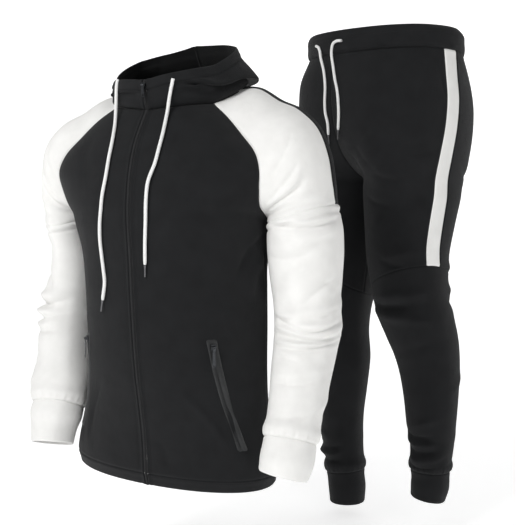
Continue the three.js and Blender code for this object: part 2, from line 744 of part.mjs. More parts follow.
const LEFT_LEG_FOLDS = table(FOLD_COLUMNS, [
  [-190, -60, 150, 12, 30, -3],
  [-230, -120, 130, 12, 40, 3],
  [-75, -75, 110, 8, -8, -2.5],
]);
const LEFT_SHIN_FOLDS = table(FOLD_COLUMNS, [
  [-365, -70, 190, 10, 10, 4],
  [-385, -80, 190, 8, 6, -4],
  [-410, -70, 180, 10, -4, 3.5],
  [-620, -60, 150, 9, 16, 3],
  [-655, -50, 150, 8, -10, -3],
  [-690, -50, 150, 8, 8, 3.5],
  [-400, 110, 160, 10, 0, 3.5],
  [-660, 90, 150, 9, -12, 3],
]);
const RIGHT_LEG_FOLDS = table(FOLD_COLUMNS, [
  [-200, -60, 150, 12, 30, -3],
  [-235, -120, 130, 12, 40, 3],
]);
const RIGHT_SHIN_FOLDS = table(FOLD_COLUMNS, [
  [-375, -80, 190, 10, -8, 4],
  [-397, -80, 180, 8, 4, -4],
  [-680, -60, 150, 9, 14, 3],
  [-720, -60, 150, 9, -10, 3.5],
  [-700, 80, 150, 9, 8, 3],
]);

function hipRow(level, side) {
  const x = side * level.crX;
  const rise = waistRise(x, level.crY, level.crZ);
  return crestArc(
    vector(0, level.fY, level.fZ),
    vector(x, level.crY, level.crZ + rise),
    vector(0, level.bY, level.bZ),
    level.frontBulge,
    level.backBulge,
  );
}

// One side's half of the waistband's lower ring, from the front to the back
function waistHalf(side) {
  const ring = waistLoft.rows.at(-1);
  return Array.from({ length: LAST_COLUMN + 1 }, (_, j) => ring.at(side * j).clone());
}

function legLofts(side, leg, shin, ankle, legFolds, shinFolds, knots) {
  const hips = [waistHalf(side), ...HIP_LEVELS.map((level) => hipRow(level, side))];
  const allRings = limbRings([...leg, ...shin, ...ankle], side, LEG_CREST_TURN, KNEE_SEAM_TURN);
  const legRings = allRings.slice(0, leg.length);
  const kneeRow = leg.length - 1;
  const ankleRow = kneeRow + shin.length;
  const tubeRings = allRings.map(withoutLast);
  const upper = new Loft([...hips, ...legRings], {
    middle: MIDDLE_COLUMN, columnSize: 62, folds: legFolds, knots,
  });
  const tubeOptions = { ...LIMB_OPTIONS, closed: true };
  return {
    upper,
    lower: new Loft(tubeRings.slice(kneeRow, ankleRow + 1), { ...tubeOptions, folds: shinFolds }),
    ankle: new Loft(tubeRings.slice(ankleRow), tubeOptions),
  };
}

const leftLeg = legLofts(
  LEFT,
  LEFT_LEG,
  LEFT_SHIN,
  LEFT_ANKLE,
  LEFT_LEG_FOLDS,
  LEFT_SHIN_FOLDS,
);
const rightLeg = legLofts(
  RIGHT,
  RIGHT_LEG,
  RIGHT_SHIN,
  RIGHT_ANKLE,
  RIGHT_LEG_FOLDS,
  RIGHT_SHIN_FOLDS,
  leftLeg.upper.knots,
);
const LEGS = { left: leftLeg, right: rightLeg };

// Scene graph
const tracksuit = new THREE.Group();
const jacket = new THREE.Group();
const joggers = new THREE.Group();
joggers.position.set(JOGGERS_PLACE.x, JOGGERS_PLACE.y, JOGGERS_PLACE.z);
joggers.rotation.z = THREE.MathUtils.degToRad(JOGGERS_TURN);
tracksuit.add(jacket, joggers);

function addPiece(group, name, geometry, finish) {
  const mesh = new THREE.Mesh(geometry, new THREE.MeshStandardMaterial(FINISH[finish]));
  mesh.name = name;
  group.add(mesh);
  return mesh;
}

// Front zip: its tape lies between the two fronts and runs on up the hood
const ZIP_WIDTH = 6;
const ZIP_LIFT = 0.4;
const zipEdge = (loft, middle, side) => (s) => loft.columnAt(
  s,
  middle,
  side * (ZIP_WIDTH / 2 + SEAM_GAP / 2),
);
const frontZipLeft = zipEdge(frontLoft, MIDDLE_COLUMN, LEFT);
const frontZipRight = zipEdge(frontLoft, MIDDLE_COLUMN, RIGHT);
const hoodZipLeft = zipEdge(hoodLoft, HOOD_MIDDLE, LEFT);
const hoodZipRight = zipEdge(hoodLoft, HOOD_MIDDLE, RIGHT);
const HOOD_ZIP_START = 10;
addPiece(jacket, 'front_zip', wallOver([
  ...steps(0, [frontLoft.length, 24])
    .map((s) => [[frontLoft, s, frontZipRight(s)], [frontLoft, s, frontZipLeft(s)]]),
  ...steps(HOOD_ZIP_START, [hoodLoft.length, 8])
    .map((s) => [[hoodLoft, s, hoodZipRight(s)], [hoodLoft, s, hoodZipLeft(s)]]),
], { lift: ZIP_LIFT }), 'zipCoil');

// Pocket zips: slanted bands on the fronts, between two distances up from the hem
const POCKET = { bottom: 70, top: 252, bottomColumn: 2.64, topColumn: 2.12, width: 18 };
const POCKET_BAND = 1.2;

function pocketEdge(side, offset) {
  return (s) => {
    const share = THREE.MathUtils.clamp((s - POCKET.bottom) / (POCKET.top - POCKET.bottom), 0, 1);
    const column = THREE.MathUtils.lerp(POCKET.bottomColumn, POCKET.topColumn, share);
    return frontLoft.columnAt(s, MIDDLE_COLUMN + side * column, side * offset);
  };
}

// Jacket fronts and back, with the hem band below them. Above the underarm their rows are those
// of the sleeves.
const YOKE_SPANS = [1, 1, 1, 1, 2, 2, 2];
const hemSeam = frontLoft.knots[HEM_LEVELS];
const pocketRows = steps(POCKET.bottom, [POCKET.top, 6]);
const bodyPanelRows = [
  ...steps(hemSeam, [POCKET.bottom, 2]).slice(0, -1),
  ...pocketRows,
  ...steps(POCKET.top, [frontLoft.knots[UNDERARM_ROW - 1], 4]).slice(1),
  ...rowsOnKnots(frontLoft, UNDERARM_ROW - 1, [1, ...YOKE_SPANS]).slice(1),
];
for (const [name, side] of [['left', LEFT], ['right', RIGHT]]) {
  const near = pocketEdge(side, -POCKET.width / 2);
  const far = pocketEdge(side, POCKET.width / 2);
  const columns = side === LEFT
    ? (s) => steps(frontZipLeft(s), [near(s), 3], [far(s), 1], [LAST_COLUMN, 3])
    : (s) => steps(0, [far(s), 3], [near(s), 1], [frontZipRight(s), 3]);
  addPiece(jacket, `jacket_front_${name}`, panel(frontLoft, bodyPanelRows, columns), 'blackCloth');
  const band = panel(frontLoft, steps(0, [hemSeam, 2]), columns, { wall: RIB });
  addPiece(jacket, `jacket_hem_${name}`, band, 'blackCloth');
  const pocketColumns = (s) => (side === LEFT ? [near(s), far(s)] : [far(s), near(s)]);
  const pocketZip = panel(frontLoft, pocketRows, pocketColumns, {
    wall: POCKET_BAND, lift: SEAM_GAP + POCKET_BAND,
  });
  addPiece(jacket, `pocket_zip_${name}`, pocketZip, 'blackCloth');
}
const backColumns = () => steps(0, [LAST_COLUMN, 10]);
addPiece(jacket, 'jacket_back', panel(backLoft, bodyPanelRows, backColumns), 'blackCloth');
const backBand = panel(backLoft, steps(0, [hemSeam, 2]), backColumns, { wall: RIB });
addPiece(jacket, 'jacket_hem_back', backBand, 'blackCloth');

// Sleeves: front, stripe and back above the armpit seam, then the lower tube and the cuff
for (const [name, sleeve] of Object.entries(SLEEVES)) {
  const { upper, lower, wrist, armpit } = sleeve;
  const stripeFront = (s) => upper.columnAt(s, MIDDLE_COLUMN, -STRIPE_WIDTH / 2);
  const stripeBack = (s) => upper.columnAt(s, MIDDLE_COLUMN, STRIPE_WIDTH / 2);
  const rows = rowsOnKnots(upper, 0, YOKE_SPANS.slice().reverse());
  const pieces = {
    front: (s) => steps(0, [stripeFront(s), 7]),
    stripe: (s) => steps(stripeFront(s), [stripeBack(s), 1]),
    back: (s) => steps(stripeBack(s), [LAST_COLUMN, 7]),
  };
  for (const [piece, columns] of Object.entries(pieces)) {
    const finish = piece === 'stripe' ? 'blackCloth' : 'whiteCloth';
    addPiece(jacket, `sleeve_${name}_${piece}`, panel(upper, rows, columns), finish);
  }
  const elbowRows = steps(0, [lower.length * 0.38, 4], [lower.length * 0.62, 8], [lower.length, 4]);
  const seam = steps(0, [stripeFront(armpit), 7], [stripeBack(armpit), 1], [LAST_COLUMN, 7]);
  addPiece(jacket, `sleeve_${name}_lower`, tube(lower, elbowRows, seam), 'whiteCloth');
  const cuffRows = steps(0, [wrist.length, 4]);
  addPiece(jacket, `sleeve_${name}_cuff`, tube(wrist, cuffRows, seam, { wall: RIB }), 'whiteCloth');
}

// Hood
const hoodRows = steps(0, [hoodLoft.length, 9]);
const hoodLeftColumns = (s) => steps(hoodZipLeft(s), [seamRing.length - 1, 13]);
const hoodRightColumns = (s) => steps(0, [hoodZipRight(s), 13]);
addPiece(jacket, 'hood_left', panel(hoodLoft, hoodRows, hoodLeftColumns), 'blackCloth');
addPiece(jacket, 'hood_right', panel(hoodLoft, hoodRows, hoodRightColumns), 'blackCloth');

// Joggers: waistband, legs and ankle cuffs
const waistRows = steps(0, [waistLoft.length, 3]);
const waistColumns = steps(0, [waistLoft.rows[0].length, 26]);
addPiece(joggers, 'waistband', tube(waistLoft, waistRows, waistColumns, { wall: RIB }), 'blackCloth');
for (const [name, leg] of Object.entries(LEGS)) {
  const { upper, lower, ankle } = leg;
  const stripeFront = (s) => upper.columnAt(s, MIDDLE_COLUMN, -SIDE_STRIPE_WIDTH / 2);
  const stripeBack = (s) => upper.columnAt(s, MIDDLE_COLUMN, SIDE_STRIPE_WIDTH / 2);
  const rows = upper.knots;
  const pieces = {
    front: (s) => steps(0, [stripeFront(s), 7]),
    stripe: (s) => steps(stripeFront(s), [stripeBack(s), 1]),
    back: (s) => steps(stripeBack(s), [LAST_COLUMN, 7]),
  };
  for (const [piece, columns] of Object.entries(pieces)) {
    const finish = piece === 'stripe' ? 'whiteCloth' : 'blackCloth';
    addPiece(joggers, `leg_${name}_${piece}`, panel(upper, rows, columns), finish);
  }
  const shinRows = steps(0, [lower.length * 0.2, 5], [lower.length, 9]);
  const knee = upper.length;
  const seam = steps(0, [stripeFront(knee), 7], [stripeBack(knee), 1], [LAST_COLUMN, 7]);
  addPiece(joggers, `leg_${name}_lower`, tube(lower, shinRows, seam), 'blackCloth');
  const ankleRows = steps(0, [ankle.length, 3]);
  addPiece(joggers, `leg_${name}_cuff`, tube(ankle, ankleRows, seam, { wall: RIB }), 'blackCloth');
}

// Booleans, for the metal parts only
const wasm = await Module();
wasm.setup();

function toManifold(geometry) {
  const plain = geometry.clone();
  plain.deleteAttribute('normal');
  plain.deleteAttribute('uv');
  const merged = mergeVertices(plain, 1e-4);
  return new wasm.Manifold(new wasm.Mesh({
    numProp: 3,
    vertProperties: new Float32Array(merged.attributes.position.array),
    triVerts: new Uint32Array(merged.index.array),
  }));
}

function joined(geometries) {
  const body = geometries.map(toManifold).reduce((sum, next) => sum.add(next));
  const mesh = body.getMesh();
  const geometry = new THREE.BufferGeometry();
  geometry.setAttribute('position', new THREE.BufferAttribute(mesh.vertProperties, 3));
  geometry.setIndex(new THREE.BufferAttribute(mesh.triVerts, 1));
  geometry.computeVertexNormals();
  return geometry;
}

const box = (x, y, z, place) => new THREE.BoxGeometry(x, y, z).translate(...place);

// Zip slider: x across the zip, y up along it and z out of the cloth, with a pin between two ears
const SLIDER = { wide: 8, tall: 11, plate: 2.2, ear: 1.3, earTall: 3.8, pin: 0.9, pinUp: 2.5 };
const PIN_PLACE = vector(0, 1.5, SLIDER.plate + SLIDER.pinUp);
const PULL = { eye: 2, hole: 1.25, play: 0.4, thick: 1.4 };

function sliderGeometry() {
  const { wide, tall, plate, ear, earTall, pin, pinUp } = SLIDER;
  const earDepth = pinUp + 1.6;
  const earX = (wide - ear) / 2;
  const ears = [-earX, earX].map(
    (x) => box(ear, earTall, earDepth, [x, PIN_PLACE.y, plate + earDepth / 2 - 0.2]),
  );
  const pinBar = new THREE.CylinderGeometry(pin, pin, wide - ear, 10)
    .rotateZ(HALF_TURN / 2)
    .translate(PIN_PLACE.x, PIN_PLACE.y, PIN_PLACE.z);
  return joined([box(wide, tall, plate, [0, 0, plate / 2]), ...ears, pinBar]);
}

// Pull tab: hangs down from the pin at its origin, with a hole near its lower end
function pullGeometry(length) {
  const width = SLIDER.wide - 2 * SLIDER.ear - 2 * PULL.play;
  const eyeShape = new THREE.Shape().absarc(0, 0, PULL.eye, 0, 2 * HALF_TURN, false);
  eyeShape.holes.push(new THREE.Path().absarc(0, 0, PULL.hole, 0, 2 * HALF_TURN, true));
  const eye = new THREE.ExtrudeGeometry(eyeShape, {
    depth: width, bevelEnabled: false, curveSegments: 6,
  }).translate(0, 0, -width / 2).rotateY(HALF_TURN / 2);
  const endRadius = width / 2 + 0.6;
  const tabShape = new THREE.Shape();
  const tabTop = -(PULL.hole + PULL.eye) / 2;
  tabShape.moveTo(-width / 2, tabTop);
  tabShape.lineTo(-width / 2, -length * 0.55);
  tabShape.absarc(0, endRadius - length, endRadius, HALF_TURN, 2 * HALF_TURN, false);
  tabShape.lineTo(width / 2, -length * 0.55);
  tabShape.lineTo(width / 2, tabTop);
  tabShape.holes.push(new THREE.Path().absarc(0, endRadius - length, 1.4, 0, 2 * HALF_TURN, true));
  const tab = new THREE.ExtrudeGeometry(tabShape, {
    depth: PULL.thick, bevelEnabled: false, curveSegments: 4,
  }).translate(0, 0, -PULL.thick / 2);
  return joined([eye, tab]);
}

// Places a slider on the cloth and hangs its pull tab straight down from the pin
function addSlider(name, loft, s, t, lift, pullLength) {
  const normal = loft.normal(s, t);
  const point = loft.at(s, t).addScaledVector(normal, lift);
  const across = vector(0, 0, 1).cross(normal).normalize();
  const up = normal.clone().cross(across);
  const onCloth = new THREE.Matrix4().makeBasis(across, up, normal).setPosition(point);
  addPiece(jacket, `${name}_slider`, sliderGeometry().applyMatrix4(onCloth), 'darkMetal');
  const pin = PIN_PLACE.clone().applyMatrix4(onCloth);
  const vertical = vector(0, 0, 1);
  const out = across.clone().cross(vertical);
  const hanging = new THREE.Matrix4().makeBasis(across, vertical, out).setPosition(pin);
  addPiece(jacket, `${name}_pull`, pullGeometry(pullLength).applyMatrix4(hanging), 'darkMetal');
}

const SLIDER_GAP = 0.5;
addSlider('front', hoodLoft, 60, HOOD_MIDDLE, ZIP_LIFT + SLIDER_GAP, 19);
const POCKET_SLIDER = { s: 239, lift: SEAM_GAP + POCKET_BAND + SLIDER_GAP, pull: 33 };
for (const [name, side] of [['left', LEFT], ['right', RIGHT]]) {
  const column = pocketEdge(side, 0)(POCKET_SLIDER.s);
  const { s, lift, pull } = POCKET_SLIDER;
  addSlider(`pocket_${name}`, frontLoft, s, column, lift, pull);
}

// Drawcords, as points along their middle, and the metal tip beyond the end of each
const CORD_RADIUS = 2.8;
const CORD_COLUMNS = ['x', 'y', 'z'];
const HOOD_CORD_LEFT = table(CORD_COLUMNS, [
  [48, -89.2, 15], [45, -91, -1], [42, -92, -18], [41, -95, -34], [42, -102, -47], [45, -119, -73],
  [45, -132, -97], [43, -142, -121], [35, -149.5, -149], [33, -153, -178], [32, -153, -209],
  [29, -150, -243], [27, -147, -279],
]);
const HOOD_CORD_RIGHT = table(CORD_COLUMNS, [
  [-61.5, -77.5, 19.5], [-61, -82, 8], [-60, -85, -8], [-56, -93, -30], [-50, -106, -55],
  [-43, -126, -83], [-42, -139, -112], [-43, -147, -141], [-48, -150, -170], [-51, -150, -194],
  [-53, -150, -213], [-55, -147, -241], [-54, -144, -267], [-52, -142, -292], [-51, -141, -309],
  [-57, -138, -339],
]);
const WAIST_CORD_RIGHT = table(CORD_COLUMNS, [
  [-46.5, -145, 127], [-37, -147.5, 123], [-32, -148, 115], [-30, -147, 101], [-19, -149, 76],
  [-12, -151, 44], [-13, -151, 12], [-13, -149, -9], [-10, -146, -27], [-13, -141, -50],
]);
const WAIST_CORD_LEFT = table(CORD_COLUMNS, [
  [31, -147.1, 128], [19, -150.5, 128], [11, -151.5, 124], [7, -151, 115], [4, -149, 104],
  [9, -149, 81], [16, -151, 58], [25, -152, 30], [28, -151, -9], [19, -144, -42],
]);
const TIP = { length: 20, top: 1.9, middle: 1.5, end: 0.9 };

function cordGeometry(points, stepCount) {
  const path = new THREE.CatmullRomCurve3(points.map(({ x, y, z }) => vector(x, y, z)));
  const section = new THREE.Shape().absarc(0, 0, CORD_RADIUS, 0, 2 * HALF_TURN, false);
  return new THREE.ExtrudeGeometry(section, {
    steps: stepCount, curveSegments: 4, bevelEnabled: false, extrudePath: path,
  });
}

// The tip hangs on from the last stretch of the cord
function tipGeometry(points) {
  const [before, end] = points.slice(-2).map(({ x, y, z }) => vector(x, y, z));
  const direction = end.clone().sub(before).normalize();
  const profile = [
    [0, 0], [TIP.top, 0], [TIP.top, 3], [TIP.middle, 4.5], [TIP.middle, TIP.length - 2],
    [TIP.end, TIP.length], [0, TIP.length],
  ].map(([radius, along]) => new THREE.Vector2(radius, along));
  const turn = new THREE.Quaternion().setFromUnitVectors(vector(0, 1, 0), direction);
  const place = end.clone().addScaledVector(direction, SEAM_GAP);
  return new THREE.LatheGeometry(profile, 10).applyQuaternion(turn)
    .translate(place.x, place.y, place.z);
}

function addCord(group, name, points, stepCount) {
  addPiece(group, `${name}_cord`, cordGeometry(points, stepCount), 'whiteCord');
  addPiece(group, `${name}_tip`, tipGeometry(points), 'tipMetal');
}

addCord(jacket, 'hood_left', HOOD_CORD_LEFT, 22);
addCord(jacket, 'hood_right', HOOD_CORD_RIGHT, 25);
addCord(joggers, 'waist_right', WAIST_CORD_RIGHT, 15);
addCord(joggers, 'waist_left', WAIST_CORD_LEFT, 15);

export default tracksuit;
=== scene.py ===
"""Tracksuit: a zip hooded jacket and joggers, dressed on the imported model.

Lengths in the tables are in millimetres, and meshes are written in metres. The joggers' tables
are in a frame of their own, which to_world turns and moves into the model's frame.
"""
import math

import bpy
import numpy as np
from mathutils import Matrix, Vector


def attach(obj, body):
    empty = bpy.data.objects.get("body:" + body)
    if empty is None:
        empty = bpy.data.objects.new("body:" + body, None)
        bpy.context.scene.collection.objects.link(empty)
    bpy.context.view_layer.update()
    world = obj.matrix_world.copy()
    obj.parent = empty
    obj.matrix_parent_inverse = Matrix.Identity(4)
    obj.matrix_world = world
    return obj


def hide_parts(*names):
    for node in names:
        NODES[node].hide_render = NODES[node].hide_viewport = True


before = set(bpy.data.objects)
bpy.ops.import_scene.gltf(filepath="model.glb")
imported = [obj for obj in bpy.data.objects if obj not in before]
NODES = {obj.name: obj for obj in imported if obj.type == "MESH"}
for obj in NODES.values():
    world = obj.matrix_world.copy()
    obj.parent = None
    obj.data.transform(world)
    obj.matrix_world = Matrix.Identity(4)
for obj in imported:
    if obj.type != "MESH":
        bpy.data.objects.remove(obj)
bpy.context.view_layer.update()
MM = 0.001
BODY = "tracksuit"
TURN = 2 * math.pi


# Camera: the photograph's view
CAMERA_PLACE = (0.76443, -1.43106, -0.1727)
CAMERA_AZIMUTH = 23
CAMERA_ELEVATION = 4
CAMERA_LENS = 65.65
CAMERA_SENSOR = 36


def add_camera():
    data = bpy.data.cameras.new("camera")
    data.sensor_fit = "HORIZONTAL"
    data.sensor_width = CAMERA_SENSOR
    data.lens = CAMERA_LENS
    camera = bpy.data.objects.new("camera", data)
    bpy.context.scene.collection.objects.link(camera)
    camera.location = CAMERA_PLACE
    azimuth = math.radians(CAMERA_AZIMUTH)
    elevation = math.radians(CAMERA_ELEVATION)
    side = Vector((
        math.sin(azimuth) * math.cos(elevation),
        -math.cos(azimuth) * math.cos(elevation),
        math.sin(elevation),
    ))
    camera.rotation_euler = side.to_track_quat("Z", "Y").to_euler()
    bpy.context.scene.camera = camera


add_camera()


# Materials: depths and pitches in metres
KNIT_DEPTH = 0.00016
KNIT_ARM = 1.4
FUZZ_DEPTH = 0.0004
UNEVEN_DEPTH = 0.004
BRAID_STRANDS = 6.0
BRAID_PITCH = 0.0045
BRAID_DEPTH = 0.0005
WEAR_DEPTH = 0.00008


class Nodes:
    """A small helper that adds and links shader nodes."""

    def __init__(self, name):
        self.material = bpy.data.materials.new(name)
        self.material.use_nodes = True
        self.tree = self.material.node_tree
        self.shader = self.tree.nodes["Principled BSDF"]

    def add(self, kind, inputs=None, **settings):
        node = self.tree.nodes.new(kind)
        for key, value in settings.items():
            setattr(node, key, value)
        for key, value in (inputs or {}).items():
            if isinstance(value, bpy.types.NodeSocket):
                self.tree.links.new(value, node.inputs[key])
            else:
                node.inputs[key].default_value = value
        return node

    def math(self, operation, a, b=0.0):
        return self.add("ShaderNodeMath", {0: a, 1: b}, operation=operation).outputs[0]

    def set(self, **values):
        for key, value in values.items():
            self.shader.inputs[key.replace("_", " ")].default_value = value

    def link(self, socket, output):
        self.tree.links.new(output, self.shader.inputs[socket])

    def noise(self, scale, detail=2.0):
        """Noise in the object's own coordinates."""
        coordinates = self.add("ShaderNodeTexCoord").outputs["Object"]
        inputs = {"Vector": coordinates, "Scale": scale, "Detail": detail}
        return self.add("ShaderNodeTexNoise", inputs).outputs["Fac"]

    def cut(self):
        """Places across and along the cloth's own cut, in metres."""
        uv = self.add("ShaderNodeUVMap", uv_map="cut").outputs["UV"]
        split = self.add("ShaderNodeSeparateXYZ", {0: uv})
        return split.outputs["X"], split.outputs["Y"]

    def bump(self, height, strength, depth, below=None):
        """A fine relief, laid over another one where that is given."""
        inputs = {"Height": height, "Strength": strength, "Distance": depth}
        if below is not None:
            inputs["Normal"] = below
        return self.add("ShaderNodeBump", inputs).outputs["Normal"]


def two_tones(nodes, dark, light, scale):
    ramp = nodes.add("ShaderNodeValToRGB", {"Fac": nodes.noise(scale, 4.0)})
    tones = zip(ramp.color_ramp.elements, (0.3, 0.7), (dark, light))
    for element, position, colour in tones:
        element.position = position
        element.color = (*colour, 1)
    nodes.link("Base Color", ramp.outputs["Color"])


def knit_height(nodes, wale, course):
    """Columns of small V stitches."""
    across, along = nodes.cut()
    across = nodes.math("MULTIPLY", across, 1 / wale)
    along = nodes.math("MULTIPLY", along, 1 / course)
    in_wale = nodes.math("ABSOLUTE", nodes.math("SUBTRACT", nodes.math("FRACT", across), 0.5))
    arm = nodes.math("ADD", along, nodes.math("MULTIPLY", in_wale, KNIT_ARM))
    loops = nodes.math("SINE", nodes.math("MULTIPLY", arm, TURN))
    grooves = nodes.math("SINE", nodes.math("MULTIPLY", in_wale, TURN))
    return nodes.math("ADD", nodes.math("MULTIPLY", loops, 0.5), grooves)


def knit_material(name, dark, light, sheen, wale=0.0011, course=0.0009):
    """Jersey: the knit, a fuzz over it, and a slow unevenness."""
    nodes = Nodes(name)
    two_tones(nodes, dark, light, 38.0)
    nodes.set(Roughness=0.8, Sheen_Weight=sheen, Sheen_Roughness=0.5, Specular_IOR_Level=0.22)
    knit = nodes.bump(knit_height(nodes, wale, course), 0.6, KNIT_DEPTH)
    fuzzy = nodes.bump(nodes.noise(900.0, 3.0), 0.5, FUZZ_DEPTH, knit)
    nodes.link("Normal", nodes.bump(nodes.noise(26.0, 3.0), 0.5, UNEVEN_DEPTH, fuzzy))
    return nodes.material


def cord_material():
    """A round braid: two sets of strands that cross."""
    nodes = Nodes("white_braid")
    two_tones(nodes, (0.88, 0.88, 0.87), (0.95, 0.95, 0.94), 300.0)
    nodes.set(Roughness=0.75, Sheen_Weight=0.2)
    around, along = nodes.cut()
    around = nodes.math("MULTIPLY", around, BRAID_STRANDS)
    along = nodes.math("MULTIPLY", along, 1 / BRAID_PITCH)
    strands = []
    for crossing in ("ADD", "SUBTRACT"):
        turns = nodes.math(crossing, around, along)
        strands.append(nodes.math("SINE", nodes.math("MULTIPLY", turns, TURN)))
    nodes.link("Normal", nodes.bump(nodes.math("MAXIMUM", *strands), 0.8, BRAID_DEPTH))
    return nodes.material


def metal_material(name, dark, light, roughness):
    nodes = Nodes(name)
    two_tones(nodes, dark, light, 700.0)
    nodes.set(Metallic=1.0, Roughness=roughness)
    nodes.link("Normal", nodes.bump(nodes.noise(1500.0), 0.3, WEAR_DEPTH))
    return nodes.material


def thread_material(name, dark, light):
    nodes = Nodes(name)
    two_tones(nodes, dark, light, 1200.0)
    nodes.set(Roughness=0.7, Sheen_Weight=0.05, Specular_IOR_Level=0.3)
    return nodes.material


BLACK = knit_material("black_jersey", (0.0048, 0.0052, 0.006), (0.0074, 0.0079, 0.0089), 0.045)
# The inner faces: a darker copy of the black jersey, as painted shade inside the hood, cuffs and
# hems
BLACK_SHADED_INSIDE = knit_material("black_inside_painted_shade", (0.004, 0.0042, 0.0046), (0.006, 0.0063, 0.0068), 0.05)
WHITE = knit_material("white_jersey", (0.82, 0.815, 0.795), (0.87, 0.865, 0.845), 0.1)
TAPE = knit_material("zip_tape", (0.006, 0.0062, 0.0066), (0.01, 0.0103, 0.011), 0.1, 0.0006, 0.0006)
# The pocket lips: the black jersey painted several times lighter, as a painted highlight where the
# raised lip catches the light
LIP_PAINTED_HIGHLIGHT = knit_material("pocket_lip_painted_highlight", (0.022, 0.023, 0.024), (0.032, 0.033, 0.034), 0.2, 0.0006, 0.0006)
BLACK_THREAD = thread_material("black_thread", (0.006, 0.0063, 0.0068), (0.012, 0.0124, 0.013))
COIL = thread_material("zip_coil_nylon", (0.012, 0.012, 0.013), (0.03, 0.031, 0.033))
BRAID = cord_material()
METAL = metal_material("slider_metal", (0.035, 0.037, 0.04), (0.07, 0.073, 0.078), 0.33)
TIP_METAL = metal_material("tip_metal", (0.10, 0.10, 0.105), (0.17, 0.17, 0.175), 0.28)


# Tables, as in the model. A row across a front, back, shoulder or leg has nine points.
MIDDLE_COLUMN = 4
LAST_COLUMN = 8
BODY_LEVELS = [
    # z, frontY, sideX, sideY, backY, leftOut
    (-648, -97, 180, 4, 115, 0),
    (-627, -103, 185, 4, 118, 0),
    (-598, -105, 181, 4, 117, 2),
    (-560, -109, 169, 4, 110, 8),
    (-510, -118, 157, 4, 102, 15),
    (-455, -129, 151, 4, 99, 20),
    (-390, -137, 150, 5, 104, 21),
    (-325, -143, 151, 6, 113, 18),
    (-265, -147, 156, 8, 122, 10),
    (-210, -152, 172, 10, 128, 0),
]
BODY_CENTRE_Y = 8
HEM_TILT = 9
HEM_TILT_TOP = -380
BODY_SQUARE = 0.93
LEFT_OUT_CURVE = 8

YOKE_LEVELS = [
    # cfY, cfZ, fX, fY, fZ, crX, crY, crZ, bX, bY, bZ, cbY, cbZ, frontBulge, backBulge
    (-89, -33, 91, -30, -20, 105, 57, 15, 72, 86, 24, 98, 28, 11, 3),
    (-105, -55, 120, -42, -42, 143, 48, 10, 108, 93, -8, 110, -22, 16, 10),
    (-121, -78, 150, -52, -72, 185, 36, -13, 142, 97, -45, 120, -65, 20, 16),
    (-135, -105, 178, -61, -104, 225, 27, -31, 168, 93, -80, 127, -102, 26, 22),
    (-144, -133, 187, -66, -132, 258, 24, -62, 182, 85, -115, 131, -133, 30, 26),
    (-149, -160, 184, -60, -160, 276, 24, -105, 184, 72, -150, 132, -160, 33, 28),
    (-151.5, -185, 179, -45, -188, 284, 24, -150, 180, 48, -187, 130.5, -186, 38, 34),
]

# Limb rings: x, y, z, wide, deep, slant
LEFT_ARM = [
    (229, 17, -200, 57, 72, 10),
    (232, 18, -228, 62, 71, 6),
    (233, 20, -262, 63, 69, 3),
    (234, 20, -305, 60, 65, 0),
    (237, 17, -345, 56, 60, 0),
    (240, 13, -378, 56, 58, 0),
    (239, 2, -420, 53, 54, 0),
    (238, -14, -460, 50, 51, 0),
    (238, -32, -503, 46.5, 47.5, 0),
    (236, -56, -559, 42.5, 43.5, 0),
]
LEFT_CUFF = [
    (235.5, -59, -570, 43.5, 44.5, 0),
    (234, -66, -590, 44, 45, 0),
    (230, -72, -613, 40, 41, 0),
]
RIGHT_ARM = [
    (-214, 17, -206, 42, 70, 4),
    (-208, 26, -240, 41, 70, 2),
    (-208, 30, -270, 44, 68, 0),
    (-214, 30, -312, 46, 62, 0),
    (-222, 24, -350, 48, 57, 0),
    (-227, 18, -380, 49, 52, 0),
    (-225, 4, -422, 49, 52, 0),
    (-219, -10, -462, 49.5, 52, 0),
    (-212, -34, -512, 53, 50, 0),
    (-208, -48, -541, 45, 44, 0),
]
RIGHT_CUFF = [
    (-209, -54, -556, 46, 45, 0),
    (-208, -63, -579, 40, 41, 0),
    (-206, -72, -605, 36, 38, 0),
]
RIGHT_CREST_INSET = 30
CREST_TURN = 12
STRIPE_WIDTH = 24

HOOD_PLACES = np.array([0, 50, 95, 140, 180], float)
HOOD_RINGS = [
    # out and up at the front, cheek, side, rear and back
    (0, 0, 0, 0, 0, 0, 0, 0, 0, 0),
    (5, 12, 8, 11, 9, 8, 10, 4, 10, 2),
    (6, 22, 8, 20, 2, 17, 8, 6, 12, 3),
    (7, 30, 10, 26, 14, 18, 45, -4, 54, -9),
    (8, 37, 9, 35, 9, 31, 26, 12, 36, 10),
    (8, 43, 6, 44, 0, 45, -1, 34, 9, 34),
    (6, 48, 2, 52, -7, 58, -19, 61, -15, 65),
]
NECK_CENTRE_Y = 12
HOOD_RIM_TILT = 8
SEAM_GAP = 0.3

JOGGERS_PLACE = np.array([240, 470, 0], float)
JOGGERS_TURN = math.radians(-30)
WAIST_LEVELS = [
    # z, frontY, sideX, backY
    (150, -146, 166, 112),
    (140, -148, 174, 128),
    (126, -147, 174, 131),
    (112, -146, 174, 131),
    (105, -143, 171, 129),
]
WAIST_CENTRE_Y = 8
HIP_LEVELS = [
    # fY, fZ, crX, crY, crZ, bY, bZ, frontBulge, backBulge
    (-145, 62, 179, 4, 60, 144, 60, 60, 52),
    (-146, 14, 185, 3, 10, 152, 8, 62, 57),
    (-137, -38, 185, -2, -42, 148, -46, 65, 60),
    (-116, -86, 179, -8, -92, 126, -96, 69, 65),
    (-76, -124, 174, -14, -136, 80, -134, 82, 76),
]
LEFT_LEG = [
    (89.5, -10, -168, 89, 104, -16),
    (91, -15, -200, 87, 98, -6),
    (93, -20, -235, 84, 92, 6),
    (95, -25, -290, 79, 84, 18),
    (97, -22, -337, 75, 78, 34),
]
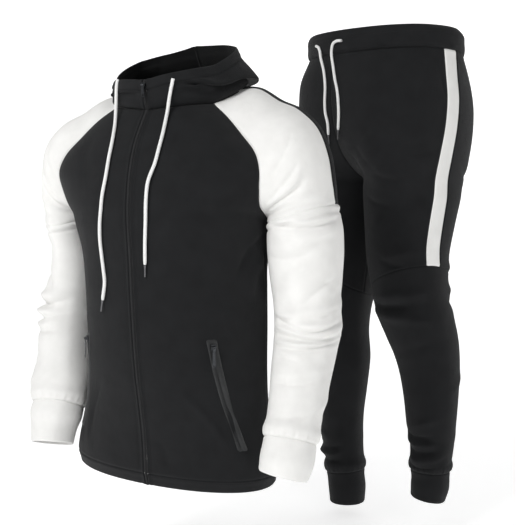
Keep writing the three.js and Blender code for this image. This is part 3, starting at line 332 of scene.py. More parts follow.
LEFT_SHIN = [
    (99, -14, -386, 72, 74, 20),
    (104, 2, -431, 69, 71, 8),
    (108, 17, -475, 65, 67, 0),
    (112, 23, -518, 60, 62, 0),
    (116, 24, -570, 54.5, 56, 0),
    (118, 24, -632, 49, 50, 0),
    (120, 24, -680, 43, 44, 0),
    (119, 21, -724, 39, 40, 0),
]
LEFT_ANKLE = [
    (120, 21, -733, 38, 39, 0),
    (120, 20, -757, 38, 39, 0),
    (117, 17, -782, 34, 35, 0),
]
RIGHT_LEG = [
    (-89.5, -10, -168, 89, 104, -16),
    (-91.5, -15, -200, 87, 98, -6),
    (-94, -20, -235, 84, 92, 6),
    (-98, -26, -290, 79, 84, 18),
    (-102, -28, -340, 74, 77, 34),
]
RIGHT_SHIN = [
    (-105, -29, -400, 69, 71, 18),
    (-105, -25, -461, 63, 65, 6),
    (-101, -17, -524, 58, 59, 0),
    (-104, -16, -582, 53, 54, 0),
    (-106, -17, -645, 48, 49, 0),
    (-102, -16, -708, 44, 45, 0),
    (-95, -14, -766, 41, 42, 0),
]
RIGHT_ANKLE = [
    (-94, -14, -776, 40, 41, 0),
    (-91, -13, -802, 40, 41, 0),
    (-90, -13, -836, 37, 38, 0),
]
SIDE_STRIPE_WIDTH = 33
LEG_CREST_TURN = -7
KNEE_SEAM_TURN = 35
WAIST_TILT = 6
WAIST_ARCH = 10
WAIST_ARCH_PLACE = -5
WAIST_DIP = 9
WAIST_DIP_PLACE = 75
WAIST_DROP_END = -100


# Smooth surfaces
def hermite(a, b, slope_a, slope_b, step, f):
    f2 = f * f
    f3 = f2 * f
    return (
        a * (2 * f3 - 3 * f2 + 1) + slope_a * ((f3 - 2 * f2 + f) * step)
        + b * (3 * f2 - 2 * f3) + slope_b * ((f3 - f2) * step)
    )


def slopes_at(points, knots):
    """Slopes down the rows of an array of rows."""
    steps = np.diff(knots).reshape((-1,) + (1,) * (points.ndim - 1))
    spans = np.diff(points, axis=0) / steps
    slopes = np.empty_like(points)
    slopes[0] = spans[0]
    slopes[-1] = spans[-1]
    before, after = steps[:-1], steps[1:]
    slopes[1:-1] = (spans[:-1] * after + spans[1:] * before) / (before + after)
    return slopes


def row_distances(rows):
    gaps = np.linalg.norm(np.diff(rows, axis=0), axis=2).mean(axis=1)
    return np.concatenate([[0], np.cumsum(gaps)])


MEETING_REACH = 40


def row_slopes(points, closed):
    """Slopes along each row of points, rows x columns x 3."""
    slopes = (np.roll(points, -1, axis=1) - np.roll(points, 1, axis=1)) / 2
    if closed:
        return slopes
    apart = np.linalg.norm(points[:, 0] - points[:, -1], axis=1) / MEETING_REACH
    meeting = (1 - np.clip(apart, 0, 1))[:, None]
    together = (points[:, 1] - points[:, -2]) / 2 * meeting
    first = -1.5 * points[:, 0] + 2 * points[:, 1] - 0.5 * points[:, 2]
    last = 1.5 * points[:, -1] - 2 * points[:, -2] + 0.5 * points[:, -3]
    slopes[:, 0] = first * (1 - meeting) + together
    slopes[:, -1] = last * (1 - meeting) + together
    return slopes


def unit(vectors):
    return vectors / np.maximum(np.linalg.norm(vectors, axis=-1, keepdims=True), 1e-9)


class Loft:
    """A surface through rows of points: s is the distance down the rows, t the column."""

    def __init__(self, rows, closed=False, knots=None):
        self.rows = np.array(rows, float)
        self.closed = closed
        self.knots = row_distances(self.rows) if knots is None else np.array(knots, float)
        self.slopes = slopes_at(self.rows, self.knots)
        self.length = self.knots[-1]
        self.last = self.rows.shape[1] - (0 if closed else 1)
        self.outward = 1
        middle = len(self.rows) // 2
        s = self.knots[middle:middle + 1]
        t = np.array([[float(self.rows.shape[1] // 2)]])
        away = self.at(s, t)[0, 0] - self.rows[middle].mean(axis=0)
        self.outward = 1 if self.normal(s, t)[0, 0] @ away > 0 else -1

    def at(self, s, t):
        """Points for distances s (rows) and column places t (rows x columns)."""
        i = np.clip(np.searchsorted(self.knots, s) - 1, 0, len(self.knots) - 2)
        step = (self.knots[i + 1] - self.knots[i])[:, None, None]
        f = ((s - self.knots[i])[:, None, None]) / step
        rows, slopes = self.rows, self.slopes
        points = hermite(rows[i], rows[i + 1], slopes[i], slopes[i + 1], step, f)
        across = row_slopes(points, self.closed)
        count = points.shape[1]
        if self.closed:
            turn = np.mod(t, count)
            j = np.floor(turn).astype(int) % count
        else:
            turn = t
            j = np.clip(np.floor(turn).astype(int), 0, count - 2)
        n = (j + 1) % count
        row = np.arange(len(s))[:, None]
        g = (turn - j)[..., None]
        return hermite(points[row, j], points[row, n], across[row, j], across[row, n], 1, g)

    def normal(self, s, t):
        down = self.at(s + 0.5, t) - self.at(s - 0.5, t)
        across = self.at(s, t + 0.01) - self.at(s, t - 0.01)
        return unit(np.cross(across, down)) * self.outward

    def column_at(self, s, start, distance):
        """The column place a distance away from another one, on each row."""
        t = np.broadcast_to(np.asarray(start, float), s.shape)[:, None]
        gap = self.at(s, t + 0.2) - self.at(s, t - 0.2)
        size = np.linalg.norm(gap[:, 0], axis=1) / 0.4
        return t[:, 0] + distance / size


def smoothstep(x, low, high):
    f = np.clip((x - low) / (high - low), 0, 1)
    return f * f * (3 - 2 * f)


def limb_rings(levels, side, crest_turn, slant_turn=0):
    levels = np.array(levels, float)
    rings = []
    for i, (x, y, z, wide, deep, slant) in enumerate(levels):
        above = levels[max(i - 1, 0), :3]
        below = levels[min(i + 1, len(levels) - 1), :3]
        axis = unit(below - above)
        out = np.array([side, 0, 0], float)
        out = unit(out - axis * (out @ axis))
        back = np.array([0, 1, 0], float)
        back -= axis * (back @ axis)
        back = unit(back - out * (back @ out))
        share = np.arange(LAST_COLUMN + 1) / LAST_COLUMN
        angle = TURN * share + math.pi + math.radians(crest_turn) * np.sin(math.pi * share)
        ring = np.tile(np.array([x, y, z]), (len(share), 1))
        ring[:, 2] += slant * np.cos(angle + math.radians(slant_turn))
        ring += np.outer(np.cos(angle) * wide, out) + np.outer(np.sin(angle) * deep, back)
        rings.append(ring)
    return np.array(rings)


ARM_RINGS = {
    1: limb_rings(LEFT_ARM + LEFT_CUFF, 1, CREST_TURN),
    -1: limb_rings(RIGHT_ARM + RIGHT_CUFF, -1, CREST_TURN),
}


def body_rows(middle_column):
    rows = []
    for level in BODY_LEVELS:
        z, side_x, side_y, middle_y = level[0], level[2], level[3], level[middle_column]
        j = np.arange(LAST_COLUMN + 1) - MIDDLE_COLUMN
        angle = math.pi / 2 * np.abs(j) / MIDDLE_COLUMN
        x = np.sign(j) * side_x * np.sin(angle) ** BODY_SQUARE
        x = x + level[5] * (j > 0) * np.sin(angle) ** LEFT_OUT_CURVE
        y = side_y + (middle_y - side_y) * np.cos(angle) ** BODY_SQUARE
        fade = smoothstep(-z, -HEM_TILT_TOP, -BODY_LEVELS[0][0])
        rows.append(np.stack([x, y, z - HEM_TILT * fade * x / side_x], axis=1))
    rows[-1][0] = ARM_RINGS[-1][0][0]
    rows[-1][LAST_COLUMN] = ARM_RINGS[1][0][0]
    return rows


def yoke_row(middle_y, middle_z, seam):
    end = math.acos((BODY_CENTRE_Y - seam[1]) / (BODY_CENTRE_Y - middle_y))
    j = np.arange(LAST_COLUMN + 1) - MIDDLE_COLUMN
    share = np.abs(j) / MIDDLE_COLUMN
    x = np.sign(j) * seam[0] * np.sin(end * share) / math.sin(end)
    y = BODY_CENTRE_Y - (BODY_CENTRE_Y - middle_y) * np.cos(end * share)
    return np.stack([x, y, middle_z + (seam[2] - middle_z) * share], axis=1)


FRONT = Loft(body_rows(1) + [yoke_row(y[0], y[1], y[2:5]) for y in YOKE_LEVELS[::-1]])
BACK = Loft(
    body_rows(4) + [yoke_row(y[11], y[12], y[8:11]) for y in YOKE_LEVELS[::-1]],
    knots=FRONT.knots,
)
UNDERARM_ROW = len(BODY_LEVELS) - 1


def crest_arc(front, crest, back, front_bulge, back_bulge):
    front, crest, back = (np.array(p, float) for p in (front, crest, back))
    middle = (front + back) / 2

    def half(start, end, bulge):
        chord = end - start
        along = unit(chord)
        out = (start + end) / 2 - middle
        out = unit(out - along * (out @ along))
        shares = np.array([0, 0.25, 0.5, 0.75])[:, None]
        return start + chord * shares + out * (4 * shares * (1 - shares) * bulge)

    rear = half(back, crest, back_bulge)[::-1]
    return np.concatenate([half(front, crest, front_bulge), [crest], rear])


def sleeve_lofts(side, cuff_row, inset):
    rings = ARM_RINGS[side]
    shoulder = []
    for i, y in enumerate(YOKE_LEVELS):
        crest_x = y[5] - inset * i / len(YOKE_LEVELS)
        crest_z = y[7] - inset / 4 * math.sin(math.pi * i / len(YOKE_LEVELS))
        shoulder.append(crest_arc(
            (side * y[2], y[3], y[4]),
            (side * crest_x, y[6], crest_z),
            (side * y[8], y[9], y[10]),
            y[13],
            y[14],
        ))
    rows = np.array(shoulder + [rings[0], rings[1]])
    own = row_distances(rows)
    on_body = (FRONT.length - FRONT.knots[UNDERARM_ROW:])[::-1]
    knots = np.append(on_body, on_body[-1] + own[-1] - own[-2])
    tubes = rings[:, :-1]
    return {
        "upper": Loft(rows, knots=knots),
        "lower": Loft(tubes[:cuff_row + 1], closed=True),
        "cuff": Loft(tubes[cuff_row:], closed=True),
        "armpit": knots[len(shoulder)],
    }


SLEEVES = {
    "left": sleeve_lofts(1, len(LEFT_ARM) - 1, 0),
    "right": sleeve_lofts(-1, len(RIGHT_ARM) - 1, RIGHT_CREST_INSET),
}


def neck_seam():
    top, back = FRONT.rows[-1], BACK.rows[-1]

    def half(side):
        shoulder = SLEEVES["left" if side == 1 else "right"]["upper"].rows[0]
        pick = (lambda j: j) if side == 1 else (lambda j: LAST_COLUMN - j)
        front_part = [top[pick(j)] for j in (4, 5, 6, 7)]
        back_part = [back[pick(j)] for j in (8, 7, 6, 5, 4)]
        return front_part + list(shoulder[:-1]) + back_part

    return np.array(half(-1)[::-1] + half(1)[1:])


NECK = neck_seam()
HOOD_MIDDLE = (len(NECK) - 1) / 2


def hood_row(ring):
    values = np.array([ring[0::2], ring[1::2]], float).T
    slopes = slopes_at(values, HOOD_PLACES)
    rim_share = ring[1] / HOOD_RINGS[-1][1]
    row = []
    for point in NECK:
        out = unit(np.array([point[0], point[1] - NECK_CENTRE_Y, 0]))
        place = math.degrees(math.acos(-out[1]))
        i = min(int(np.searchsorted(HOOD_PLACES, place, side="right")) - 1, 3)
        step = HOOD_PLACES[i + 1] - HOOD_PLACES[i]
        f = (place - HOOD_PLACES[i]) / step
        away, up = hermite(values[i], values[i + 1], slopes[i], slopes[i + 1], step, f)
        rise = SEAM_GAP + up + HOOD_RIM_TILT * rim_share * out[0]
        row.append(point + out * away + np.array([0, 0, rise]))
    return np.array(row)


HOOD = Loft([hood_row(ring) for ring in HOOD_RINGS])


def waist_rise(x, y, z):
    """How far the waist stands above its level."""
    fade = smoothstep(np.float64(z), WAIST_DROP_END, WAIST_LEVELS[-1][0])
    angle = np.arctan2(y - WAIST_CENTRE_Y, x)
    arch = np.maximum(0, np.cos(angle - math.radians(WAIST_ARCH_PLACE))) ** 2
    dip = np.maximum(0, np.cos(angle - math.radians(WAIST_DIP_PLACE))) ** 2
    rise = WAIST_ARCH * arch - WAIST_DIP * dip
    return fade * (rise - WAIST_TILT * x / WAIST_LEVELS[0][2])


def waist_row(z, front_y, side_x, back_y):
    angle = TURN * np.arange(16) / 16
    depth = np.where(np.cos(angle) > 0, WAIST_CENTRE_Y - front_y, back_y - WAIST_CENTRE_Y)
    x = side_x * np.sin(angle)
    y = WAIST_CENTRE_Y - depth * np.cos(angle)
    return np.stack([x, y, z + waist_rise(x, y, z)], axis=1)


def hip_row(level, side):
    front_y, front_z, x, y, z, back_y, back_z, front_bulge, back_bulge = level
    crest = (side * x, y, z + waist_rise(side * x, y, z))
    return crest_arc((0, front_y, front_z), crest, (0, back_y, back_z), front_bulge, back_bulge)


def waist_half(side):
    """One side's half of the waistband's lower ring, from the front to the back."""
    ring = WAIST.rows[-1]
    return ring[(side * np.arange(LAST_COLUMN + 1)) % len(ring)]


WAIST = Loft([waist_row(*level) for level in WAIST_LEVELS], closed=True)


def leg_lofts(side, leg, shin, ankle, knots=None):
    hips = [waist_half(side)] + [hip_row(level, side) for level in HIP_LEVELS]
    rings = limb_rings(leg + shin + ankle, side, LEG_CREST_TURN, KNEE_SEAM_TURN)
    knee = len(leg) - 1
    ankle_row = knee + len(shin)
    upper = np.concatenate([hips, rings[:knee + 1]])
    tubes = rings[:, :-1]
    return {
        "upper": Loft(upper, knots=knots),
        "lower": Loft(tubes[knee:ankle_row + 1], closed=True),
        "cuff": Loft(tubes[ankle_row:], closed=True),
    }


LEFT_LEG_LOFTS = leg_lofts(1, LEFT_LEG, LEFT_SHIN, LEFT_ANKLE)
LEGS = {
    "left": LEFT_LEG_LOFTS,
    "right": leg_lofts(
        -1, RIGHT_LEG, RIGHT_SHIN, RIGHT_ANKLE, knots=LEFT_LEG_LOFTS["upper"].knots,
    ),
}


def to_world(points):
    """From the joggers' own frame to the model's frame."""
    c, s = math.cos(JOGGERS_TURN), math.sin(JOGGERS_TURN)
    x, y, z = points[..., 0], points[..., 1], points[..., 2]
    return np.stack([c * x - s * y, s * x + c * y, z], axis=-1) + JOGGERS_PLACE


# Folds and creases: down is z or the distance down the loft, around the distance from its middle
def fold_height(folds, down, around, girth=0):
    height = np.zeros(np.broadcast(down, around).shape)
    for middle, place, length, width, slant, high in folds:
        across = around - place
        if girth:
            across = across - girth * np.round(across / girth)
        up = down - middle
        c, s = math.cos(math.radians(slant)), math.sin(math.radians(slant))
        along = across * c + up * s
        off = up * c - across * s
        fade = np.where(np.abs(along) < length / 2, np.cos(math.pi * along / length) ** 2, 0)
        height += high * fade * np.exp(-((off / width) ** 2))
    return height


CREASE_STEP = 9
CREASE_ENDS = 0.3


def crease_height(creases, down, around, girth=0):
    """Height of creases along smooth paths: rounded where they rise and sharp where they sink."""
    height = np.zeros(np.broadcast(down, around).shape)
    for high, width, points in creases:
        path = catmull_rom([(*point, 0) for point in points], CREASE_STEP)[:, :2]
        middle = path[:, 0].mean()
        across = around - middle
        if girth:
            across = across - girth * np.round(across / girth)
        across = across + middle
        gap = np.full(height.shape, 1e9)
        share = np.zeros(height.shape)
        for k, (start, end) in enumerate(zip(path[:-1], path[1:])):
            step = end - start
            f = ((across - start[0]) * step[0] + (down - start[1]) * step[1]) / (step @ step)
            f = np.clip(f, 0, 1)
            away = np.hypot(across - start[0] - f * step[0], down - start[1] - f * step[1])
            nearer = away < gap
            gap = np.where(nearer, away, gap)
            share = np.where(nearer, (k + f) / (len(path) - 1), share)
        fade = smoothstep(share, 0, CREASE_ENDS) * smoothstep(1 - share, 0, CREASE_ENDS)
        shape = np.exp(-((gap / width) ** (2 if high > 0 else 1.3)))
        height += high * fade * shape
    return height


# Cloth panels
EDGE_STEPS = [0, 0.7, 1.5, 2.6, 4.2, 6.2, 8.6]
NARROW_CELL = 2.2
FOLD_FADE = 22
CREASE_FADE = 9
PROBES = 40


def graded(length, cell):
    """Places from 0 to 1, close together at both ends."""
    edge = np.array(EDGE_STEPS)
    if length < 3 * edge[-1]:
        return np.linspace(0, 1, max(3, int(length / NARROW_CELL)) + 1)
    count = max(2, int(round((length - 2 * edge[-1]) / cell)))
    middle = np.linspace(edge[-1], length - edge[-1], count + 1)
    return np.concatenate([edge[:-1], middle, length - edge[-2::-1]]) / length


class Panel:
    """A fine grid of points over a stretch of a loft, with the distance to each of its edges."""

    def __init__(self, loft, start, end, left=None, right=None, cell=4.0, folds=(), creases=(),
                 middle=MIDDLE_COLUMN, column_size=46, by_distance=False, place=None):
        self.loft = loft
        self.closed = left is None
        s = start + (end - start) * graded(abs(end - start), cell)
        rows = len(s)
        if self.closed:
            first = np.zeros(rows)
            last = np.full(rows, float(loft.last))
        else:
            first, last = left(s), right(s)
        probe = np.linspace(0, 1, PROBES)
        middle_row = slice(rows // 2, rows // 2 + 1)
        probe = first[middle_row, None] + (last - first)[middle_row, None] * probe
        line = loft.at(s[middle_row], probe)[0]
        girth = np.linalg.norm(np.diff(line, axis=0), axis=1).sum()
        if self.closed:
            share = np.arange(int(girth / cell)) / int(girth / cell)
        else:
            share = graded(girth, cell)
        t = first[:, None] + (last - first)[:, None] * share
        points = loft.at(s, t)
        normals = loft.normal(s, t)
        self.measure(points)
        if len(folds) or len(creases):
            around = (t - middle) * column_size
            down = s[:, None] if by_distance else points[..., 2]
            turn = loft.last * column_size if self.closed else 0
            height = fold_height(folds, down, around, turn) * self.seam_fade(FOLD_FADE)
            height += crease_height(creases, down, around, turn) * self.seam_fade(CREASE_FADE)
            points = points + normals * height[..., None]
        self.place = place
        self.points = points
        self.refresh()

    def measure(self, points):
        """Distances to the edges along the cloth."""
        wide = np.linalg.norm(np.diff(points, axis=1), axis=2)
        self.from_left = np.pad(np.cumsum(wide, axis=1), ((0, 0), (1, 0)))
        self.to_right = self.from_left[:, -1:] - self.from_left
        tall = np.linalg.norm(np.diff(points, axis=0), axis=2)
        self.from_start = np.pad(np.cumsum(tall, axis=0), ((1, 0), (0, 0)))
        self.to_end = self.from_start[-1:] - self.from_start

    def seam_fade(self, reach):
        near = np.minimum(self.from_start, self.to_end)
        if not self.closed:
            near = np.minimum(near, np.minimum(self.from_left, self.to_right))
        return smoothstep(near, 0, reach)

    def directions(self):
        """The ways down and across the grid at each point."""
        down = np.gradient(self.points, axis=0)
        if self.closed:
            return down, np.roll(self.points, -1, axis=1) - np.roll(self.points, 1, axis=1)
        return down, np.gradient(self.points, axis=1)

    def refresh(self):
        """Normals from the grid itself."""
        down, across = self.directions()
        self.normals = unit(np.cross(across, down)) * self.loft.outward

    def inward(self, edge):
        """The direction along the cloth away from an edge."""
        down, across = (unit(way) for way in self.directions())
        return {"start": down, "end": -down, "left": across, "right": -across}[edge]

    def raise_by(self, height):
        self.points = self.points + self.normals * height[..., None]
        self.refresh()

    def edge(self, name):
        return {
            "left": self.from_left, "right": self.to_right,
            "start": self.from_start, "end": self.to_end,
        }[name]

    def line(self, name, distance):
        """Points and normals on a line at a distance from one edge."""
        field = self.edge(name)
        points, normals = self.points, self.normals
        if name in ("start", "end"):
            field, points, normals = field.T, points.swapaxes(0, 1), normals.swapaxes(0, 1)
        if name in ("right", "end"):
            field, points, normals = field[:, ::-1], points[:, ::-1], normals[:, ::-1]
        found, lifts = [], []
        for values, row, up in zip(field, points, normals):
            if values[-1] <= distance:
                continue
            found.append([np.interp(distance, values, row[:, k]) for k in range(3)])
            lifts.append([np.interp(distance, values, up[:, k]) for k in range(3)])
        found, lifts = np.array(found), unit(np.array(lifts))
        if self.closed and name in ("start", "end"):
            found = np.concatenate([found, found[:1]])
            lifts = np.concatenate([lifts, lifts[:1]])
        if self.place:
            lifts = self.place(lifts) - self.place(np.zeros(3))
            found = self.place(found)
        return found, lifts


def bell(distance, middle, width):
    return np.exp(-(((distance - middle) / width) ** 2))


# Cloth bunched into a seam: the swelling's and the pleats' place and width, and the pleats
SWELLING = (13, 11)
PLEATS_BESIDE = (5, 6)
FINE_PLEATS, FINE_START = 23, 0.7
FINER_PLEATS, FINER_START, FINER_SLANT = 37, 2.1, 9


def gather(panel, edge, balloon, depth):
    """Cloth that is bunched into a seam: it swells beside it, in uneven small pleats."""
    away = panel.edge(edge)
    turn = TURN * panel.from_left / panel.from_left.max(axis=1, keepdims=True)
    pleats = np.sin(FINE_PLEATS * turn + FINE_START)
    pleats = pleats + 0.7 * np.sin(FINER_PLEATS * turn + FINER_START + away / FINER_SLANT)
    panel.raise_by(balloon * bell(away, *SWELLING) + depth * pleats * bell(away, *PLEATS_BESIDE))


# What each kind of edge does to the cloth beside it: bells of height, distance and width
RELIEFS = {
    "seam": [(-0.95, 0, 1.4), (0.35, 4.4, 2.4)],
    "open": [(-1.0, 0, 1.1), (0.3, 5, 3)],
    "zip": [(1.2, 2.0, 1.5), (-0.5, 0, 0.6), (-0.6, 7.5, 1.2)],
    "rolled": [(-1.6, 0, 1.8), (1.6, 6, 3.4), (-1.8, 13, 2.2)],
}


def edge_relief(kind, away):
    return sum(height * bell(away, middle, width) for height, middle, width in RELIEFS[kind])


def mesh_object(name, points, faces, material, uvs=None):
    mesh = bpy.data.meshes.new(name)
    mesh.from_pydata((np.asarray(points) * MM).tolist(), [], faces)
    mesh.validate()
    if uvs is not None:
        layer = mesh.uv_layers.new(name="cut")
        loops = np.empty(len(mesh.loops), int)
        mesh.loops.foreach_get("vertex_index", loops)
        layer.data.foreach_set("uv", (np.asarray(uvs)[loops] * MM).ravel())
    mesh.polygons.foreach_set("use_smooth", [True] * len(mesh.polygons))
    for each in material if isinstance(material, (list, tuple)) else [material]:
        mesh.materials.append(each)
    piece = bpy.data.objects.new(name, mesh)
    bpy.context.scene.collection.objects.link(piece)
    return piece


def grid_faces(rows, columns, closed, start=0, flip=False):
    i = np.arange(rows - 1)[:, None]
    j = np.arange(columns if closed else columns - 1)[None]
    n = (j + 1) % columns
    quads = np.stack([
        start + i * columns + j,
        start + (i + 1) * columns + j,
        start + (i + 1) * columns + n,
        start + i * columns + n,
    ], axis=-1).reshape(-1, 4)
    return quads[:, ::-1] if flip else quads


def dress(piece, slot, *nodes):
    """Puts a piece on the suit's body, in the place of some nodes."""
    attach(piece, BODY)
    if nodes:
        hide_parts(*nodes)


CUTS = {}
CLOTH = 1.8
RIB = 2.2
LIP_WALL = 1.2
RIM_WIDTH = 1.2
SEAM_OVERLAP = 1.8
ALL_SEAMS = {"left": "seam", "right": "seam", "start": "seam", "end": "seam"}


def rim_loops(panel):
    """The grid's edges, as places in its list of points, all the same way round."""
    rows, columns = panel.points.shape[:2]
    grid = np.arange(rows * columns).reshape(rows, columns)
    loops = [("start", grid[0]), ("end", grid[-1][::-1])]
    if not panel.closed:
        loops += [("left", grid[::-1, 0]), ("right", grid[:, -1])]
    return loops


def shell(name, node, panel, wall, material, edges, inside=None):
    """The cloth piece itself: an outer and an inner side with a rounded rim."""
    for edge, kind in edges.items():
        panel.raise_by(edge_relief(kind, panel.edge(edge)))
    outer = panel.points
    thickness = np.full(outer.shape[:2], float(wall))
    for edge in edges:
        thickness -= 0.5 * wall * bell(panel.edge(edge), 0, RIM_WIDTH)
    inner = outer - panel.normals * thickness[..., None]
    rows, columns = outer.shape[:2]
    count = rows * columns
    outward = panel.loft.outward > 0
    outward_faces = grid_faces(rows, columns, panel.closed, 0, outward)
    inward_faces = grid_faces(rows, columns, panel.closed, count, not outward)
    outer_points, inner_points = outer.reshape(-1, 3), inner.reshape(-1, 3)
    uv = np.stack([panel.from_left, panel.from_start], axis=-1).reshape(-1, 2)
    points, uvs, faces = [outer_points, inner_points], [uv, uv], [outward_faces, inward_faces]
    total = 2 * count
    for edge, line in rim_loops(panel):
        a, b = outer_points[line], inner_points[line]
        away = -panel.inward(edge).reshape(-1, 3)[line]
        thick = np.linalg.norm(a - b, axis=1, keepdims=True)
        reach = SEAM_OVERLAP if edges.get(edge) in ("seam", "rolled") else thick / 2
        points.append((a + b) / 2 + away * reach)
        uvs.append(uv[line])
        order = np.arange(len(line))
        following = (order + 1) % len(line) if panel.closed else order[1:]
        order = order if panel.closed else order[:-1]
        near, far = line[order], line[following]
        rim_near, rim_far = total + order, total + following
        upper = np.stack([near, far, rim_far, rim_near], axis=1)
        lower = np.stack([rim_near, rim_far, far + count, near + count], axis=1)
        faces += [upper[:, ::-1], lower[:, ::-1]] if outward else [upper, lower]
        total += len(line)
    points = np.concatenate(points)
    if panel.place:
        points = panel.place(points)
    materials = [material] if inside is None else [material, inside]
    faces = np.concatenate(faces).tolist()
    piece = mesh_object(name, points, faces, materials, np.concatenate(uvs))
    # The inner side's faces take the second material, the darker copy painted as shade, where one is
    # given
    if inside is not None:
        index = np.zeros(len(piece.data.polygons), int)
        index[len(outward_faces):len(outward_faces) + len(inward_faces)] = 1
        piece.data.polygons.foreach_set("material_index", index)
    dress(piece, "white_cloth" if material == WHITE else "black_cloth", node)
    width = panel.from_left[:, -1].max()
    if panel.closed:
        width += np.linalg.norm(outer[:, 0] - outer[:, -1], axis=1).mean()
    CUTS[name] = (piece, panel, width * MM, panel.from_start[-1].max() * MM)


# Lines of stitches and of zip teeth
STITCH_SIDES = 5
STITCH_RINGS = [(-0.5, 0.35), (-0.32, 1), (0.32, 1), (0.5, 0.35)]
AHEAD = 0.5


def line_distances(line):
    """The distance along a line to each of its points."""
    return np.concatenate([[0], np.cumsum(np.linalg.norm(np.diff(line, axis=0), axis=1))])


def values_along(places, along, rows):
    return np.stack([np.interp(places, along, rows[:, k]) for k in range(3)], axis=1)


def stitches(name, lines, material, slot, pitch=3.2, length=2.3, radius=0.28, sink=0.1,
             across=False):
    """Small threads along lines on the cloth, or teeth across them, as one piece."""
    rings = len(STITCH_RINGS)
    shape_along = np.array([place for place, size in STITCH_RINGS]) * length
    shape_size = np.array([size for place, size in STITCH_RINGS]) * radius
    angle = TURN * np.arange(STITCH_SIDES) / STITCH_SIDES
    i = np.arange(rings - 1)[None, :, None] * STITCH_SIDES
    j = np.arange(STITCH_SIDES)[None, None, :]
    n = (j + 1) % STITCH_SIDES
    points, faces = [], []
    total = 0
    for line, lifts in lines:
        along = line_distances(line)
        places = np.arange(pitch / 2, along[-1], pitch)
        centre = values_along(places, along, line)
        lift = unit(values_along(places, along, lifts))
        forward = unit(values_along(places + AHEAD, along, line) - centre + 1e-6)
        side = unit(np.cross(forward, lift))
        up = np.cross(side, forward)
        if across:
            forward, side = side, forward
        centre = centre + lift * (radius - sink)
        ring = (
            centre[:, None, None] + forward[:, None, None] * shape_along[None, :, None, None]
            + (side[:, None, None] * np.cos(angle)[None, None, :, None]
               + up[:, None, None] * np.sin(angle)[None, None, :, None])
            * shape_size[None, :, None, None]
        )
        points.append(ring.reshape(-1, 3))
        starts = total + np.arange(len(places)) * rings * STITCH_SIDES
        base = starts[:, None, None]
        quads = np.stack([
            base + i + j, base + i + n, base + i + STITCH_SIDES + n, base + i + STITCH_SIDES + j,
        ], axis=-1)
        faces += quads.reshape(-1, 4).tolist()
        for start in starts.tolist():
            cap = range(start, start + STITCH_SIDES)
            faces.append(list(reversed(cap)))
            faces.append([k + (rings - 1) * STITCH_SIDES for k in cap])
        total += len(ring.reshape(-1, 3))
    piece = mesh_object(name, np.concatenate(points), faces, material)
    dress(piece, slot)


# Swept tubes, for cords
def catmull_rom(points, step):
    """A smooth line through points, as in the model."""
    points = np.array(points, float)
    first = 2 * points[0] - points[1]
    last = 2 * points[-1] - points[-2]
    all_points = np.concatenate([[first], points, [last]])
    line = []
    for i in range(1, len(all_points) - 2):
        p0, p1, p2, p3 = all_points[i - 1:i + 3]
        steps = ((p0, p1), (p1, p2), (p2, p3))
        d0, d1, d2 = (max(np.linalg.norm(b - a), 1e-4) ** 0.5 for a, b in steps)
        slope1 = ((p1 - p0) / d0 - (p2 - p0) / (d0 + d1) + (p2 - p1) / d1) * d1
        slope2 = ((p2 - p1) / d1 - (p3 - p1) / (d1 + d2) + (p3 - p2) / d2) * d1
        count = max(2, int(np.linalg.norm(p2 - p1) / step))
        for f in np.arange(count) / count:
            line.append(hermite(p1, p2, slope1, slope2, 1, f))
    line.append(points[-1])
    return np.array(line)


def frames_along(line):
    """Steady side and up directions along a line."""
    forward = unit(np.gradient(line, axis=0))
    side = np.zeros_like(line)
    side[0] = unit(np.cross(forward[0], [0, 1, 0.2]))
    for i in range(1, len(line)):
        side[i] = unit(side[i - 1] - forward[i] * (side[i - 1] @ forward[i]))
    return forward, side, np.cross(forward, side)


def tube_piece(name, line, sizes, sides, material):
    forward, side, up = frames_along(line)
    angle = TURN * np.arange(sides) / sides
    sizes = np.broadcast_to(sizes, len(line))
    ring = line[:, None] + (
        side[:, None] * np.cos(angle)[None, :, None] + up[:, None] * np.sin(angle)[None, :, None]
    ) * sizes[:, None, None]
    count = len(line)
    faces = grid_faces(count, sides, True, flip=True).tolist()
    faces.append(list(range(sides)))
    faces.append(list(range((count - 1) * sides, count * sides))[::-1])
    uv = np.stack([
        np.broadcast_to(np.arange(sides) / sides / MM, (count, sides)),
        np.broadcast_to(line_distances(line)[:, None], (count, sides)),
    ], axis=-1)
    return mesh_object(name, ring.reshape(-1, 3), faces, material, uv.reshape(-1, 2))


# Drawcords: points along their middle, as in the model
CORD_RADIUS = 2.8
HOOD_CORD_LEFT = [
    (48, -89.2, 15), (45, -91, -1), (42, -92, -18), (41, -95, -34), (42, -102, -47),
    (45, -119, -73), (45, -132, -97), (43, -142, -121), (35, -149.5, -149), (33, -153, -178),
    (32, -153, -209), (29, -150, -243), (27, -147, -279),
]
HOOD_CORD_RIGHT = [
    (-61.5, -77.5, 19.5), (-61, -82, 8), (-60, -85, -8), (-56, -93, -30), (-50, -106, -55),
    (-43, -126, -83), (-42, -139, -112), (-43, -147, -141), (-48, -150, -170), (-51, -150, -194),
    (-53, -150, -213), (-55, -147, -241), (-54, -144, -267), (-52, -142, -292), (-51, -141, -309),
    (-57, -138, -339),
]
WAIST_CORD_RIGHT = [
    (-46.5, -145, 127), (-37, -147.5, 123), (-32, -148, 115), (-30, -147, 101), (-19, -149, 76),
    (-12, -151, 44), (-13, -151, 12), (-13, -149, -9), (-10, -146, -27), (-13, -141, -50),
]
WAIST_CORD_LEFT = [
    (31, -147.1, 128), (19, -150.5, 128), (11, -151.5, 124), (7, -151, 115), (4, -149, 104),
    (9, -149, 81), (16, -151, 58), (25, -152, 30), (28, -151, -9), (19, -144, -42),
]
